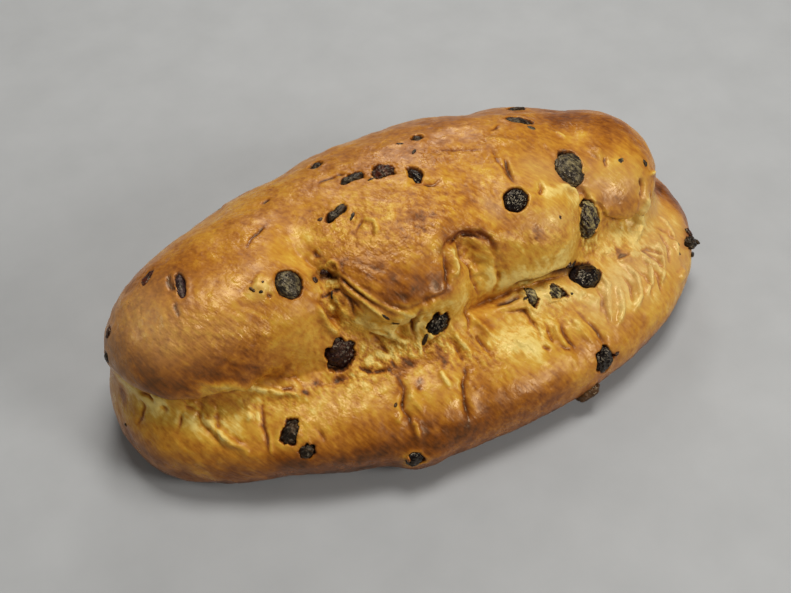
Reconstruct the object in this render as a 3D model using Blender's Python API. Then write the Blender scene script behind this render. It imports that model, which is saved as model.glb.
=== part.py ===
"""A fruit loaf of sweet yeast dough, folded over on itself like a stollen, with raisins in its crust.

The loaf lies along X on the floor plane. The lower roll of dough shows as a long lip on the -Y side and
round the +X end, and the part that was folded over it makes the tall upper bulges. Each raisin is a solid
of its own, in a pocket of the dough. Lengths are in millimetres until a mesh is made.
"""

import math
from dataclasses import dataclass

import bmesh
import bpy
import numpy as np
from mathutils import Matrix, Vector
from mathutils.bvhtree import BVHTree

MM = 0.001

# The loaf as a whole: how far its middle line sways to +Y, and how much fuller it is, at its +X end.
HALF_LENGTH = 147.0
SWAY = 5.0
FULLER = 0.05

# How softly the folded-over dough meets the lower roll, and the whole meets the baking sheet.
FOLD_MELT = 8.0
FLOOR_MELT = 6.0

# The skin of the dough: how finely it is divided along, across and up, and how it is wrapped on.
SKIN_CUTS = (40, 22, 13)
WRAP_ROUNDS = 14
SETTLE_ROUNDS = 6
EVENING = 0.5
STRIDE = 0.7
PROBE = 0.4
FLAT_BELOW = 0.4

# The round-edged drum that the skin is wrapped on from.
DRUM_RADII = np.array([145.0, 82.0, 45.0])
DRUM_CENTRE = np.array([0.0, 0.0, 45.0])
DRUM_POWER = 6

# A raisin's mesh, the dents round its edge (how many, how deep, how far turned), and its pocket's gap.
RAISIN_SIDES = 8
RAISIN_RINGS = 4
RAISIN_FLAT = 0.65
RAISIN_DENTS = ((2, 0.07, 1.0), (3, 0.05, 2.3))
POCKET_GAP = 0.4

# Past this share along X, a raisin's turn is measured from Y.
FACES_ALONG_X = 0.8

CRUST_COLOUR = (0.50, 0.25, 0.07)
CRUST_ROUGHNESS = 0.35
RAISIN_COLOUR = (0.02, 0.014, 0.012)
RAISIN_ROUGHNESS = 0.4


@dataclass(frozen=True)
class Lobe:
    """One swelling of the dough: a rounded, box-like ellipsoid that melts into its neighbours."""

    centre: tuple
    radii: tuple
    turn: float = 0.0
    plan_power: float = 2.2
    side_power: float = 2.1
    melt: float = 7.0

    def distance(self, points):
        """Roughly how far each point lies outside this lobe."""
        radii = np.array(self.radii)
        turned = np.array(Matrix.Rotation(math.radians(self.turn), 3, "Z"))
        share = np.abs((points - np.array(self.centre)) @ turned) / radii + 1e-9
        plan, side = self.plan_power, self.side_power
        flat = (share[:, 0] ** plan + share[:, 1] ** plan) ** (1 / plan)
        size = (flat**side + share[:, 2] ** side) ** (1 / side)
        pull = (flat / size) ** (side - 1)
        slope = np.stack(
            [
                pull * (share[:, 0] / flat) ** (plan - 1) / radii[0],
                pull * (share[:, 1] / flat) ** (plan - 1) / radii[1],
                (share[:, 2] / size) ** (side - 1) / radii[2],
            ],
            axis=1,
        )
        return (size - 1) / (np.linalg.norm(slope, axis=1) + 1e-9)


@dataclass(frozen=True)
class Stroke:
    """A furrow pressed into the dough along a route, or, with a depth below zero, a ridge drawn out of it."""

    route: tuple
    depth: float
    reach: float

    def offset(self, points):
        """How far the skin moves inwards at each point."""
        nearest = np.full(len(points), np.inf)
        for start, end in zip(self.route[:-1], self.route[1:]):
            begin = np.array(start)
            run = np.array(end) - begin
            along = np.clip((points - begin) @ run / (run @ run), 0, 1)
            gap = points - begin - along[:, None] * run
            nearest = np.minimum(nearest, (gap**2).sum(axis=1))
        return self.depth * np.exp(-nearest / self.reach**2)


# The roll that lies underneath and shows as the lip, with its squarer -X end.
LOWER_DOUGH = (
    Lobe((4, 2, 18), (144, 82, 30), turn=0.5, plan_power=2.15, side_power=2.4),
    Lobe((-92, 1, 18), (56, 42, 31), turn=8, plan_power=2.6, side_power=2.4, melt=10),
    Lobe((-84, 14, 20), (60, 46, 34), turn=10, side_power=2.3, melt=12),
)

# The folded-over dough: its core, the four bulges over the lip, and the rounded back.
UPPER_DOUGH = (
    Lobe((-8, 16, 52), (121, 51, 37), melt=10),
    Lobe((-86, 10, 51), (60, 40, 36), turn=8, melt=8),
    Lobe((-7, 5, 53), (50, 46, 36), turn=6, melt=8),
    Lobe((48, 2, 54), (42, 40, 34), turn=12, melt=6),
    Lobe((92, 8, 47), (38, 35, 33), melt=6),
    Lobe((0, 24, 38), (110, 54, 43), melt=12),
)

# Furrows and ridges that are wide enough to be part of the form.
STROKES = (
    # The fold line, where the upper dough lies on the lip.
    Stroke(((-143, -8, 46), (-130, -20, 46), (-112, -28, 46), (-92, -31, 47)), depth=4, reach=7),
    Stroke(((4, -41, 51), (30, -39, 50), (54, -38, 49), (70, -33, 48)), depth=4, reach=7),
    Stroke(((80, -28, 47), (98, -24, 47), (112, -16, 47), (122, -6, 48)), depth=2.5, reach=8),
    # Valleys between the upper bulges.
    Stroke(((-56, 4, 87), (-54, -10, 83), (-55, -22, 74), (-55, -32, 60)), depth=4.5, reach=9),
    Stroke(((60, 6, 88), (68, -8, 83), (71, -22, 74), (68, -34, 58)), depth=5, reach=8),
    Stroke(((-36, 8, 89), (-12, 20, 91), (8, 25, 91)), depth=1.5, reach=10),
    # The tongue of dough drawn across the middle bulge, and the hollow under it.
    Stroke(((-48, -10, 82), (-38, -25, 75), (-24, -34, 69), (-8, -35, 70)), depth=-2.5, reach=10),
    Stroke(((-44, -33, 58), (-30, -41, 55), (-12, -43, 54)), depth=3, reach=8),
    # The little arch beside it, with its brow.
    Stroke(((4, -25, 80), (10, -31, 72), (12, -38, 60)), depth=5, reach=8),
    Stroke(((-4, -22, 83), (6, -16, 86), (16, -17, 84), (23, -25, 76)), depth=-2, reach=7),
    # Folds across the lip, and where its foot draws in and swells.
    Stroke(((-8, -46, 48), (-5, -62, 46), (-7, -80, 30)), depth=2, reach=7),
    Stroke(((-45, -58, 46), (-43, -74, 38)), depth=1.5, reach=7),
    Stroke(((-92, -70, 3), (-70, -80, 3), (-54, -84, 3)), depth=11, reach=17),
    Stroke(((-42, -82, 6), (-38, -84, 14)), depth=-12, reach=9),
    # The seam low on the back, the soft valleys above it, and the swell by the right end.
    Stroke(((-116, 46, 32), (-50, 74, 34), (20, 84, 36), (92, 68, 34)), depth=2.5, reach=9),
    Stroke(((-48, 60, 74), (-40, 70, 50)), depth=2.5, reach=11),
    Stroke(((50, 52, 80), (56, 68, 52)), depth=2.5, reach=11),
    Stroke(((48, 34, 84), (70, 32, 82)), depth=-2, reach=14),
)


@dataclass(frozen=True)
class Raisin:
    """One raisin: about where it lies, its length, width and thickness, its turn, and how far it stands out."""

    near: tuple
    size: tuple
    turn: float = 0.0
    proud: float = 1.5


RAISINS = {
    # On the left bulge.
    "raisin_bulge_round": Raisin((-68, -14, 81), (14, 12.5, 9), turn=75),
    "raisin_bulge_slit": Raisin((-109, 2, 85), (13, 5.5, 6), turn=78, proud=1.0),
    "raisin_bulge_rear": Raisin((-119, 17, 80), (10, 7, 6), turn=35, proud=0.8),
    "raisin_end_upper": Raisin((-142, 8, 66), (6, 5, 4.5), turn=60, proud=1.2),
    "raisin_end_lower": Raisin((-147, 3, 56), (7, 5, 4.5), turn=80, proud=1.2),
    # Along the fold.
    "raisin_fold_left": Raisin((-55, -35, 51), (15, 13, 9), turn=20, proud=2.2),
    "raisin_fold_middle": Raisin((-13, -42, 55), (14, 9, 7), turn=35, proud=2.0),
    "raisin_fold_twin_left": Raisin((34, -43, 50), (8, 7, 6), turn=70, proud=1.0),
    "raisin_fold_twin_right": Raisin((47, -46, 49), (8, 7, 6), turn=110, proud=1.0),
    "raisin_fold_right": Raisin((70, -42, 46), (15, 12, 9), turn=10, proud=2.6),
    "raisin_valley_tall": Raisin((75, -26, 64), (16, 11, 8), turn=85, proud=1.6),
    # On top.
    "raisin_top_glossy": Raisin((38, -15, 84), (13, 10, 8), turn=38, proud=1.8),
    "raisin_top_flat": Raisin((74, -4, 81), (17, 14, 8), turn=20, proud=1.0),
    "raisin_crown_long": Raisin((-35, 10, 88), (13, 6, 6), turn=18, proud=1.2),
    "raisin_crown_pair_left": Raisin((-22, 25, 89), (11, 5.5, 5.5), turn=5, proud=1.2),
    "raisin_crown_pair_right": Raisin((-8, 22, 90), (12, 10, 7), turn=20, proud=1.6),
    "raisin_crown_upright": Raisin((3, 14, 91), (10, 6, 6), turn=95, proud=1.4),
    "raisin_crown_small": Raisin((16, 37, 87), (7, 5, 5), turn=25, proud=1.0),
    "raisin_crown_far": Raisin((-31, 44, 83), (8, 5.5, 5), turn=10, proud=1.0),
    "raisin_rear_long": Raisin((65, 29, 83), (14, 7, 6), turn=-30, proud=1.3),
    "raisin_rear_edge": Raisin((72, 43, 76), (9, 7, 6), turn=0, proud=1.6),
    # On the lip.
    "raisin_lip_upper": Raisin((-87, -54, 41), (12, 9, 7), turn=35, proud=1.6),
    "raisin_lip_lower": Raisin((-85, -65, 36), (8, 7, 6), turn=20, proud=1.2),
    "raisin_foot_bump": Raisin((-44, -83, 23), (9, 8, 6), turn=-20, proud=1.4),
    "raisin_lip_right": Raisin((57, -78, 29), (13, 9, 7), turn=70, proud=1.8),
    "raisin_foot_right": Raisin((48, -82, 9), (13, 8, 8), turn=10, proud=4.2),
    "raisin_end_stalk": Raisin((136, -34, 31), (9, 6.5, 6.5), turn=0, proud=4.0),
    # On the back and the far end.
    "raisin_back_1": Raisin((-108, 50, 46), (12, 9, 7), turn=30),
    "raisin_back_2": Raisin((-78, 60, 66), (10, 8, 6), turn=110),
    "raisin_back_3": Raisin((-56, 76, 26), (13, 10, 8), turn=-20),
    "raisin_back_4": Raisin((-18, 74, 60), (9, 7, 6), turn=60, proud=1.2),
    "raisin_back_5": Raisin((6, 84, 40), (12, 9, 7), turn=15),
    "raisin_back_6": Raisin((38, 76, 62), (14, 11, 8), turn=130, proud=2.0),
    "raisin_back_7": Raisin((66, 78, 28), (9, 7, 6), turn=-40),
    "raisin_back_8": Raisin((98, 58, 44), (11, 8, 7), turn=80),
    "raisin_back_9": Raisin((130, 30, 30), (12, 9, 7), turn=20),
}


def blend_low(one, other, melt):
    """The lower of two distances, with a soft change from one to the other."""
    share = np.clip(0.5 + 0.5 * (other - one) / melt, 0, 1)
    return other * (1 - share) + one * share - melt * share * (1 - share)


def joined(lobes, points):
    """How far each point lies outside lobes that are melted together, one after the other."""
    whole = lobes[0].distance(points)
    for lobe in lobes[1:]:
        whole = blend_low(whole, lobe.distance(points), lobe.melt)
    return whole


def dough_distance(points):
    """How far each point lies outside the skin of the dough."""
    along = points[:, 0] / HALF_LENGTH
    straight = points.copy()
    straight[:, 1] = (points[:, 1] - SWAY * along) / (1 + FULLER * along)
    whole = blend_low(joined(LOWER_DOUGH, straight), joined(UPPER_DOUGH, straight), FOLD_MELT)
    for stroke in STROKES:
        whole = whole + stroke.offset(points)
    return -blend_low(-whole, points[:, 2], FLOOR_MELT)


def wrap_on(points, edges):
    """Move each point onto the skin of the dough, evening out the gaps between them on the way."""
    links = np.bincount(edges.ravel(), minlength=len(points))[:, None]
    for turn in range(WRAP_ROUNDS + SETTLE_ROUNDS):
        if turn < WRAP_ROUNDS:
            pulled = np.zeros_like(points)
            np.add.at(pulled, edges[:, 0], points[edges[:, 1]])
            np.add.at(pulled, edges[:, 1], points[edges[:, 0]])
            points = points + EVENING * (pulled / links - points)
        here = dough_distance(points)
        slope = np.stack(
            [(dough_distance(points + PROBE * axis) - here) / PROBE for axis in np.eye(3)], axis=1
        )
        steep = (slope**2).sum(axis=1) + 1e-6
        points = points - STRIDE * (here / steep)[:, None] * slope
    points[:, 2] = np.where(points[:, 2] < FLAT_BELOW, 0, points[:, 2])
    return points


def skin_grid():
    """A cube whose faces are divided into the skin's squares, with its corners at one."""
    grid = bmesh.new()
    bmesh.ops.create_cube(grid, size=2)
    for axis, cuts in enumerate(SKIN_CUTS):
        along = [
            edge
            for edge in grid.edges
            if abs(edge.verts[0].co[axis] - edge.verts[1].co[axis]) > 1
        ]
        bmesh.ops.subdivide_edges(grid, edges=along, cuts=cuts - 1, use_grid_fill=True)
    return grid


def split_squares(grid):
    """Split each square of the skin along the diagonal that lies closer to the dough."""
    squares = [face for face in grid.faces if len(face.verts) == 4]
    middles = [
        (face.verts[corner].co + face.verts[corner + 2].co) / 2 / MM
        for face in squares
        for corner in (0, 1)
    ]
    misses = np.abs(dough_distance(np.array(middles))).reshape(-1, 2)
    for face, (first, second) in zip(squares, misses):
        corner = 0 if first <= second else 1
        bmesh.utils.face_split(face, face.verts[corner], face.verts[corner + 2])


def make_dough():
    """The loaf's own body of dough, with a flat underside."""
    grid = skin_grid()
    grid.verts.ensure_lookup_table()
    spread = np.tan(np.array([vert.co[:] for vert in grid.verts]) * math.pi / 4)
    plan = np.linalg.norm(spread[:, :2], axis=1)
    size = (plan**DRUM_POWER + np.abs(spread[:, 2]) ** DRUM_POWER) ** (1 / DRUM_POWER)
    edges = np.array([[vert.index for vert in edge.verts] for edge in grid.edges])
    skin = wrap_on(spread / size[:, None] * DRUM_RADII + DRUM_CENTRE, edges)
    for vert, place in zip(grid.verts, skin):
        vert.co = place * MM
    underside = [face for face in grid.faces if max(vert.co.z for vert in face.verts) <= 0]
    bmesh.ops.dissolve_faces(grid, faces=underside, use_verts=True)
    split_squares(grid)
    bmesh.ops.recalc_face_normals(grid, faces=grid.faces)
    return grid


def raisin_mesh(name, raisin, gap, seed):
    """A flattened, uneven ovoid about its own centre, grown by the gap for its pocket."""
    half = [size / 2 + gap for size in raisin.size]
    body = bmesh.new()
    bmesh.ops.create_uvsphere(body, u_segments=RAISIN_SIDES, v_segments=RAISIN_RINGS, radius=1)
    for vert in body.verts:
        around = math.atan2(vert.co.y, vert.co.x)
        dents = sum(deep * math.sin(count * around + lag * seed) for count, deep, lag in RAISIN_DENTS)
        wide = vert.co.xy.length**RAISIN_FLAT * (1 + dents)
        plan = Vector((math.cos(around) * half[0], math.sin(around) * half[1])) * wide
        vert.co = Vector((plan.x, plan.y, vert.co.z * half[2])) * MM
    mesh = bpy.data.meshes.new(name)
    body.to_mesh(mesh)
    body.free()
    mesh.shade_smooth()
    return mesh


def raisin_place(raisin, skin):
    """Where a raisin lies in the skin, with its own Z along the skin's normal."""
    foot, normal, _, _ = skin.find_nearest(Vector(raisin.near) * MM)
    side = Vector((1, 0, 0)) if abs(normal.x) < FACES_ALONG_X else Vector((0, 1, 0))
    across = normal.cross(side).normalized()
    turned = Matrix((across.cross(normal), across, normal)).transposed()
    turned = turned @ Matrix.Rotation(math.radians(raisin.turn), 3, "Z")
    centre = foot + normal * (raisin.proud - raisin.size[2] / 2) * MM
    return Matrix.Translation(centre) @ turned.to_4x4()


def finish(name, colour, roughness):
    """A plain Principled material."""
    material = bpy.data.materials.new(name)
    material.use_nodes = True
    shader = material.node_tree.nodes["Principled BSDF"]
    shader.inputs["Base Color"].default_value = (*colour, 1)
    shader.inputs["Roughness"].default_value = roughness
    shader.inputs["Metallic"].default_value = 0
    return material


def add_object(name, mesh, parent, material, collection):
    """Put a mesh in the scene as an object of its own."""
    piece = bpy.data.objects.new(name, mesh)
    collection.objects.link(piece)
    piece.parent = parent
    if material is not None:
        mesh.materials.append(material)
    return piece


def main():
    """Build the dough, the raisins and the pockets that they lie in."""
    for piece in list(bpy.data.objects):
        bpy.data.objects.remove(piece)
    scene_collection = bpy.context.scene.collection
    pockets = bpy.data.collections.new("pockets")
    scene_collection.children.link(pockets)
    loaf = bpy.data.objects.new("loaf", None)
    scene_collection.objects.link(loaf)

    crust = finish("crust", CRUST_COLOUR, CRUST_ROUGHNESS)
    dough_form = make_dough()
    skin = BVHTree.FromBMesh(dough_form)
    dough_mesh = bpy.data.meshes.new("dough")
    dough_form.to_mesh(dough_mesh)
    dough_form.free()
    dough_mesh.shade_smooth()
    dough = add_object("dough", dough_mesh, loaf, crust, scene_collection)

    low = np.array([vert.co[:] for vert in dough_mesh.vertices]).min(axis=0)
    high = np.array([vert.co[:] for vert in dough_mesh.vertices]).max(axis=0)
    for seed, (name, raisin) in enumerate(RAISINS.items()):
        place = raisin_place(raisin, skin)
        fruit = finish(name, RAISIN_COLOUR, RAISIN_ROUGHNESS)
        body = add_object(name, raisin_mesh(name, raisin, 0, seed), loaf, fruit, scene_collection)
        body.matrix_world = place
        pocket_name = name.replace("raisin", "pocket")
        pocket = add_object(
            pocket_name, raisin_mesh(pocket_name, raisin, POCKET_GAP, seed), loaf, None, pockets
        )
        pocket.matrix_world = place
        pocket.hide_render = True
        pocket.display_type = "WIRE"
        corners = np.array([(place @ vert.co)[:] for vert in body.data.vertices])
        low = np.minimum(low, corners.min(axis=0))
        high = np.maximum(high, corners.max(axis=0))

    cut = dough.modifiers.new("pockets", "BOOLEAN")
    cut.operation = "DIFFERENCE"
    cut.operand_type = "COLLECTION"
    cut.collection = pockets
    cut.solver = "EXACT"
    loaf.location = (-(low[0] + high[0]) / 2, -(low[1] + high[1]) / 2, 0)


main()
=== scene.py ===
"""The looks of a folded fruit loaf: its baked crust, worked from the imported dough, and the raisins in it.

Lengths in the lists of marks are millimetres in the loaf's own frame, whose origin lies at LOAF_ORIGIN in
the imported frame. Meshes and everything that Blender reads are in metres.
"""

import logging
import math
from dataclasses import dataclass, field
from enum import Enum

import bpy
import numpy as np
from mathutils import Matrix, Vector, kdtree, noise
from mathutils.bvhtree import BVHTree


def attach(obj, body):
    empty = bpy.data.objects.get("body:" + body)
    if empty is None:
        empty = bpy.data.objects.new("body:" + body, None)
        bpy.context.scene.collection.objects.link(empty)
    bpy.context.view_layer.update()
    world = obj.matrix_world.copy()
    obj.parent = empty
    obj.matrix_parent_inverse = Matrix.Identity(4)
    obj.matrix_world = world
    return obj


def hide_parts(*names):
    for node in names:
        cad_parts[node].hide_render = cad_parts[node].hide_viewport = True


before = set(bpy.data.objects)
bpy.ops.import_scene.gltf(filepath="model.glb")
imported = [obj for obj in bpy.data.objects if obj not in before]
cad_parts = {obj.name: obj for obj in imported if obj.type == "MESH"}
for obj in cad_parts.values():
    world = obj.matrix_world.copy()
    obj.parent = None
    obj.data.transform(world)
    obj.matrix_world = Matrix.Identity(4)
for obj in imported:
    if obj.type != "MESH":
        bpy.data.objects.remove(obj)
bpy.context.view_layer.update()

MM = 0.001
LOAF_ORIGIN = np.array([0.7, -1.6, 0.0])
LOG = logging.getLogger("loaf")

# How far the marks stray from their routes is drawn from noise that is otherwise seeded by the clock.
NOISE_SEED = 11


def from_screen(red: int, green: int, blue: int) -> tuple[float, float, float, float]:
    """Turn a colour as a screen shows it, 0 to 255, into the linear one that shaders take.

    Args:
        red: The red share.
        green: The green share.
        blue: The blue share.

    Returns:
        The linear colour with an alpha of one.
    """
    shares = [value / 255 for value in (red, green, blue)]
    linear = [s / 12.92 if s <= 0.04045 else ((s + 0.055) / 1.055) ** 2.4 for s in shares]
    return (*linear, 1.0)


def smooth_step(low: float, high: float, values: np.ndarray) -> np.ndarray:
    """Rise softly from 0 at low to 1 at high.

    Args:
        low: Where the rise starts.
        high: Where it ends.
        values: What is measured.

    Returns:
        The share of the rise at each value.
    """
    share = np.clip((values - low) / (high - low), 0, 1)
    return share * share * (3 - 2 * share)


def noise_at(points: np.ndarray, spacing: float, seed: float = 0.0) -> np.ndarray:
    """Soft noise over points.

    Args:
        points: Places in millimetres.
        spacing: About how far apart its swells are.
        seed: Which noise it is.

    Returns:
        A value from about -1 to 1 at each point.
    """
    away = Vector((seed * 17.3, seed * 5.1, seed * 29.7))
    return np.array([noise.noise(Vector(p) / spacing + away) for p in points])


class Profile(Enum):
    """How the crust runs from the middle of a mark outwards."""

    ROUND = "round"
    SHARP = "sharp"
    OVERLAP = "overlap"


@dataclass(frozen=True)
class Mark:
    """A line worked into the crust: a crease, or a ridge where its depth is below zero.

    An overlap stands up on the left of its route, seen from outside, and drops on the right. The burn is
    how much darker the crust is along the line, browner baking together with painted shade down in the
    crease, or paler below zero. The wobble is how unevenly it runs.
    """

    route: tuple
    depth: float
    reach: float
    profile: Profile = Profile.ROUND
    burn_and_shade: float = 0.0
    wobble: float = 1.0

    def ends(self, share: np.ndarray) -> np.ndarray:
        """How strong the mark is towards its ends, for shares along it from 0 to 1."""
        return smooth_step(-0.08, 0.35, np.minimum(share, 1 - share))

    def offset(self, gap: np.ndarray, side: np.ndarray, share: np.ndarray) -> np.ndarray:
        """How far the crust moves inwards.

        Args:
            gap: Each point's distance from the route.
            side: 1 on the left of the route and -1 on the right.
            share: How far along the route each point is, 0 to 1.

        Returns:
            The move at each point, in millimetres.
        """
        if self.profile is Profile.SHARP:
            soft = np.exp(-((gap / self.reach) ** 2))
            move = self.depth * (0.6 * soft + 0.4 * np.exp(-2.8 * gap / self.reach))
        elif self.profile is Profile.OVERLAP:
            left = 0.5 + 0.5 * np.tanh(side * gap / 0.45)
            upper = -0.5 * self.depth * np.exp(-((gap / (1.8 * self.reach)) ** 2))
            lower = self.depth * np.exp(-1.3 * gap / self.reach)
            move = left * upper + (1 - left) * lower
        else:
            move = self.depth * np.exp(-((gap / self.reach) ** 2))
        return move * self.ends(share)

    def heat_and_shade(self, gap: np.ndarray, side: np.ndarray, share: np.ndarray) -> np.ndarray:
        """How much darker the crust is along the line: browner baking with painted shade in the crease.

        The gaps, sides and shares are the same as for offset.
        """
        width = 0.5 + 0.3 * self.reach
        if self.profile is Profile.OVERLAP:
            gap = np.where(side < 0, 0.6 * gap, 2 * gap)
        return self.burn_and_shade * np.exp(-((gap / width) ** 2)) * self.ends(share)


@dataclass(frozen=True)
class Drag:
    """A stretch of the crust that is drawn over in one direction, as where a bulge hangs over the lip."""

    route: tuple
    shift: tuple
    reach: float


@dataclass(frozen=True)
class Tint:
    """A stretch of the crust that is given a tone of its own, from 0, pale, to 1, dark brown.

    Most stretches give its baked colour; some are painted shade, and some painted highlights.
    """

    route: tuple
    reach: float
    tone: float
    strength: float = 0.8
    layer: str = "tone"


@dataclass(frozen=True)
class Streaks:
    """A patch of crust that is drawn into fine ridges along one direction."""

    centre: tuple
    size: float
    along: tuple
    spacing: float
    depth: float
    tone: float = 0.0
    seed: float = 0.0


class Skin:
    """The crust's points, in millimetres in the loaf's own frame, while marks are worked into them."""

    def __init__(self, piece: bpy.types.Object) -> None:
        """Read a mesh.

        Args:
            piece: The object whose mesh is worked on.
        """
        self.mesh = piece.data
        count = len(self.mesh.vertices)
        flat = np.empty(count * 3)
        self.mesh.vertices.foreach_get("co", flat)
        self.points = flat.reshape(-1, 3) / MM - LOAF_ORIGIN
        ends = np.empty(len(self.mesh.edges) * 2, int)
        self.mesh.edges.foreach_get("vertices", ends)
        self.edges = ends.reshape(-1, 2)
        self.links = np.bincount(self.edges.ravel(), minlength=count)
        self.mesh.calc_loop_triangles()
        corners = np.empty(len(self.mesh.loop_triangles) * 3, int)
        self.mesh.loop_triangles.foreach_get("vertices", corners)
        self.triangles = corners.reshape(-1, 3)
        self.layers = {}
        self.refresh()

    def refresh(self) -> None:
        """Work out the normals and the search tree again, after the points have moved."""
        one, two, three = (self.points[self.triangles[:, k]] for k in range(3))
        turned = np.cross(two - one, three - one)
        self.normals = np.zeros_like(self.points)
        for corner in range(3):
            for axis in range(3):
                self.normals[:, axis] += np.bincount(
                    self.triangles[:, corner], weights=turned[:, axis], minlength=len(self.points)
                )
        self.normals /= np.linalg.norm(self.normals, axis=1)[:, None] + 1e-9
        self.tree = BVHTree.FromPolygons(self.points.tolist(), self.triangles.tolist())

    def evened(self, values: np.ndarray, rounds: int, share: float = 0.5) -> np.ndarray:
        """Even out values between neighbouring points.

        Args:
            values: One value, or one row, for each point.
            rounds: How many times.
            share: How far each value moves towards its neighbours' mean.

        Returns:
            The evened values.
        """
        columns = values.reshape(len(self.points), -1).copy()
        first, second = self.edges[:, 0], self.edges[:, 1]
        for _ in range(rounds):
            for axis in range(columns.shape[1]):
                column = columns[:, axis]
                total = np.bincount(first, weights=column[second], minlength=len(column))
                total += np.bincount(second, weights=column[first], minlength=len(column))
                columns[:, axis] += share * (total / self.links - column)
        return columns.reshape(values.shape)

    def lay(self, route: tuple, step: float = 1.5, wander: float = 0.0) -> np.ndarray:
        """Lay a route on the crust.

        Args:
            route: Its points, near the crust.
            step: How far apart the laid points are at most.
            wander: How far it strays to either side.

        Returns:
            The points of the route on the crust.
        """
        spots = []
        for start, end in zip(route[:-1], route[1:]):
            run = Vector(end) - Vector(start)
            pieces = max(1, math.ceil(run.length / step))
            spots += [Vector(start) + run * k / pieces for k in range(pieces)]
        spots.append(Vector(route[-1]))
        return np.array([self.tree.find_nearest(s + wander * noise.noise_vector(s / 7))[0] for s in spots])

    def beside(self, line: np.ndarray, reach: float) -> tuple:
        """Measure the points that lie beside a line.

        Args:
            line: The points of the line.
            reach: How far off it points still count.

        Returns:
            The chosen points' numbers, their gaps to the line, their sides, and their shares along it.
        """
        inside = (self.points > line.min(axis=0) - reach) & (self.points < line.max(axis=0) + reach)
        chosen = np.nonzero(inside.all(axis=1))[0]
        spots = self.points[chosen]
        nearest = np.full(len(chosen), np.inf)
        side = np.ones(len(chosen))
        share = np.zeros(len(chosen))
        legs = len(line) - 1
        for leg, (start, end) in enumerate(zip(line[:-1], line[1:])):
            run = end - start
            along = np.clip((spots - start) @ run / (run @ run + 1e-9), 0, 1)
            gap = spots - start - along[:, None] * run
            squared = (gap**2).sum(axis=1)
            closer = squared < nearest
            nearest[closer] = squared[closer]
            lean = (np.cross(run, gap) * self.normals[chosen]).sum(axis=1)
            side[closer] = np.sign(lean[closer])
            share[closer] = (leg + along[closer]) / legs
        return chosen, np.sqrt(nearest), side, share

    def press(self, mark: Mark) -> None:
        """Work a mark into the crust.

        Args:
            mark: The mark.
        """
        line = self.lay(mark.route, wander=1.1 * mark.wobble)
        chosen, gap, side, share = self.beside(line, 3.2 * mark.reach + 1)
        uneven = 1 + 0.6 * mark.wobble * noise_at(self.points[chosen], 3.5, mark.reach)
        self.points[chosen] -= (uneven * mark.offset(gap, side, share))[:, None] * self.normals[chosen]
        # Darker along the line: browner baking, with painted shade down in the crease.
        self.layers["tone"][chosen] += uneven * mark.heat_and_shade(gap, side, share)

    def draw(self, drag: Drag) -> None:
        """Draw a stretch of the crust over.

        Args:
            drag: The stretch and where it goes.
        """
        chosen, gap, _, share = self.beside(self.lay(drag.route), 2.6 * drag.reach)
        weight = np.exp(-((gap / drag.reach) ** 2)) * np.clip(np.minimum(share, 1 - share) * 4 + 0.2, 0, 1)
        self.points[chosen] += weight[:, None] * np.array(drag.shift)

    def streak(self, patch: Streaks) -> None:
        """Draw a patch of the crust into fine ridges, and tint them.

        Args:
            patch: The patch.
        """
        away = self.points - np.array(patch.centre)
        chosen = np.nonzero((away**2).sum(axis=1) < (2.2 * patch.size) ** 2)[0]
        along = np.array(patch.along, float)
        along /= np.linalg.norm(along)
        out = np.array(self.tree.find_nearest(Vector(patch.centre))[1])
        across = np.cross(out, along)
        across /= np.linalg.norm(across)
        spots = away[chosen]
        drawn = np.stack([spots @ along / 7, spots @ across, spots @ along * 0], axis=1)
        waves = noise_at(drawn, patch.spacing, patch.seed) * 1.6
        weight = np.exp(-(spots**2).sum(axis=1) / patch.size**2)
        self.points[chosen] -= (patch.depth * waves * weight)[:, None] * self.normals[chosen]
        self.layers["tone"][chosen] += patch.tone * waves * weight

    def bake(self, tint: Tint) -> None:
        """Give a stretch of the crust its tone: for most its baked colour, for some painted shade or light.

        Args:
            tint: The stretch and its tone.
        """
        chosen, gap, _, _ = self.beside(self.lay(tint.route, step=4), 2.4 * tint.reach)
        ragged = 1 + 0.35 * noise_at(self.points[chosen], 0.8 * tint.reach + 2, tint.reach)
        weight = tint.strength * np.exp(-((gap * ragged / tint.reach) ** 2))
        layer = self.layers[tint.layer]
        layer[chosen] += weight * (tint.tone - layer[chosen])

    def write(self) -> None:
        """Put the points and the layers of tone back into the mesh."""
        self.mesh.vertices.foreach_set("co", ((self.points + LOAF_ORIGIN) * MM).ravel())
        for name, values in self.layers.items():
            layer = self.mesh.attributes.new(name, "FLOAT", "POINT")
            layer.data.foreach_set("value", values.astype(np.float32))
        self.mesh.update()


class RaisinKind(Enum):
    """The ways that a raisin shows in the crust."""

    PLUMP = "plump"
    GLAZED = "glazed"
    GLOSSY = "glossy"
    CHARRED = "charred"
    RED = "red"
    WINE = "wine"
    VEILED = "veiled"
    BROWN = "brown"


@dataclass(frozen=True)
class RaisinLook:
    """How one raisin looks, and how the dough lies round it.

    The cover is the side from which a thin skin of dough lies over the raisin, and how much of it it hides.
    The shift is how far the fruit has slid from the middle of its seat.
    """

    kind: RaisinKind = RaisinKind.CHARRED
    open_share: float = 0.95
    ragged: float = 0.25
    rim: float = 0.3
    rim_tone: float = 0.5
    wrinkle: float = 0.6
    cover: tuple = ((1, 0, 0), 0.0)
    detail: int = 4
    sunk: float = 0.6
    shift: tuple = (0, 0, 0)


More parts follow.
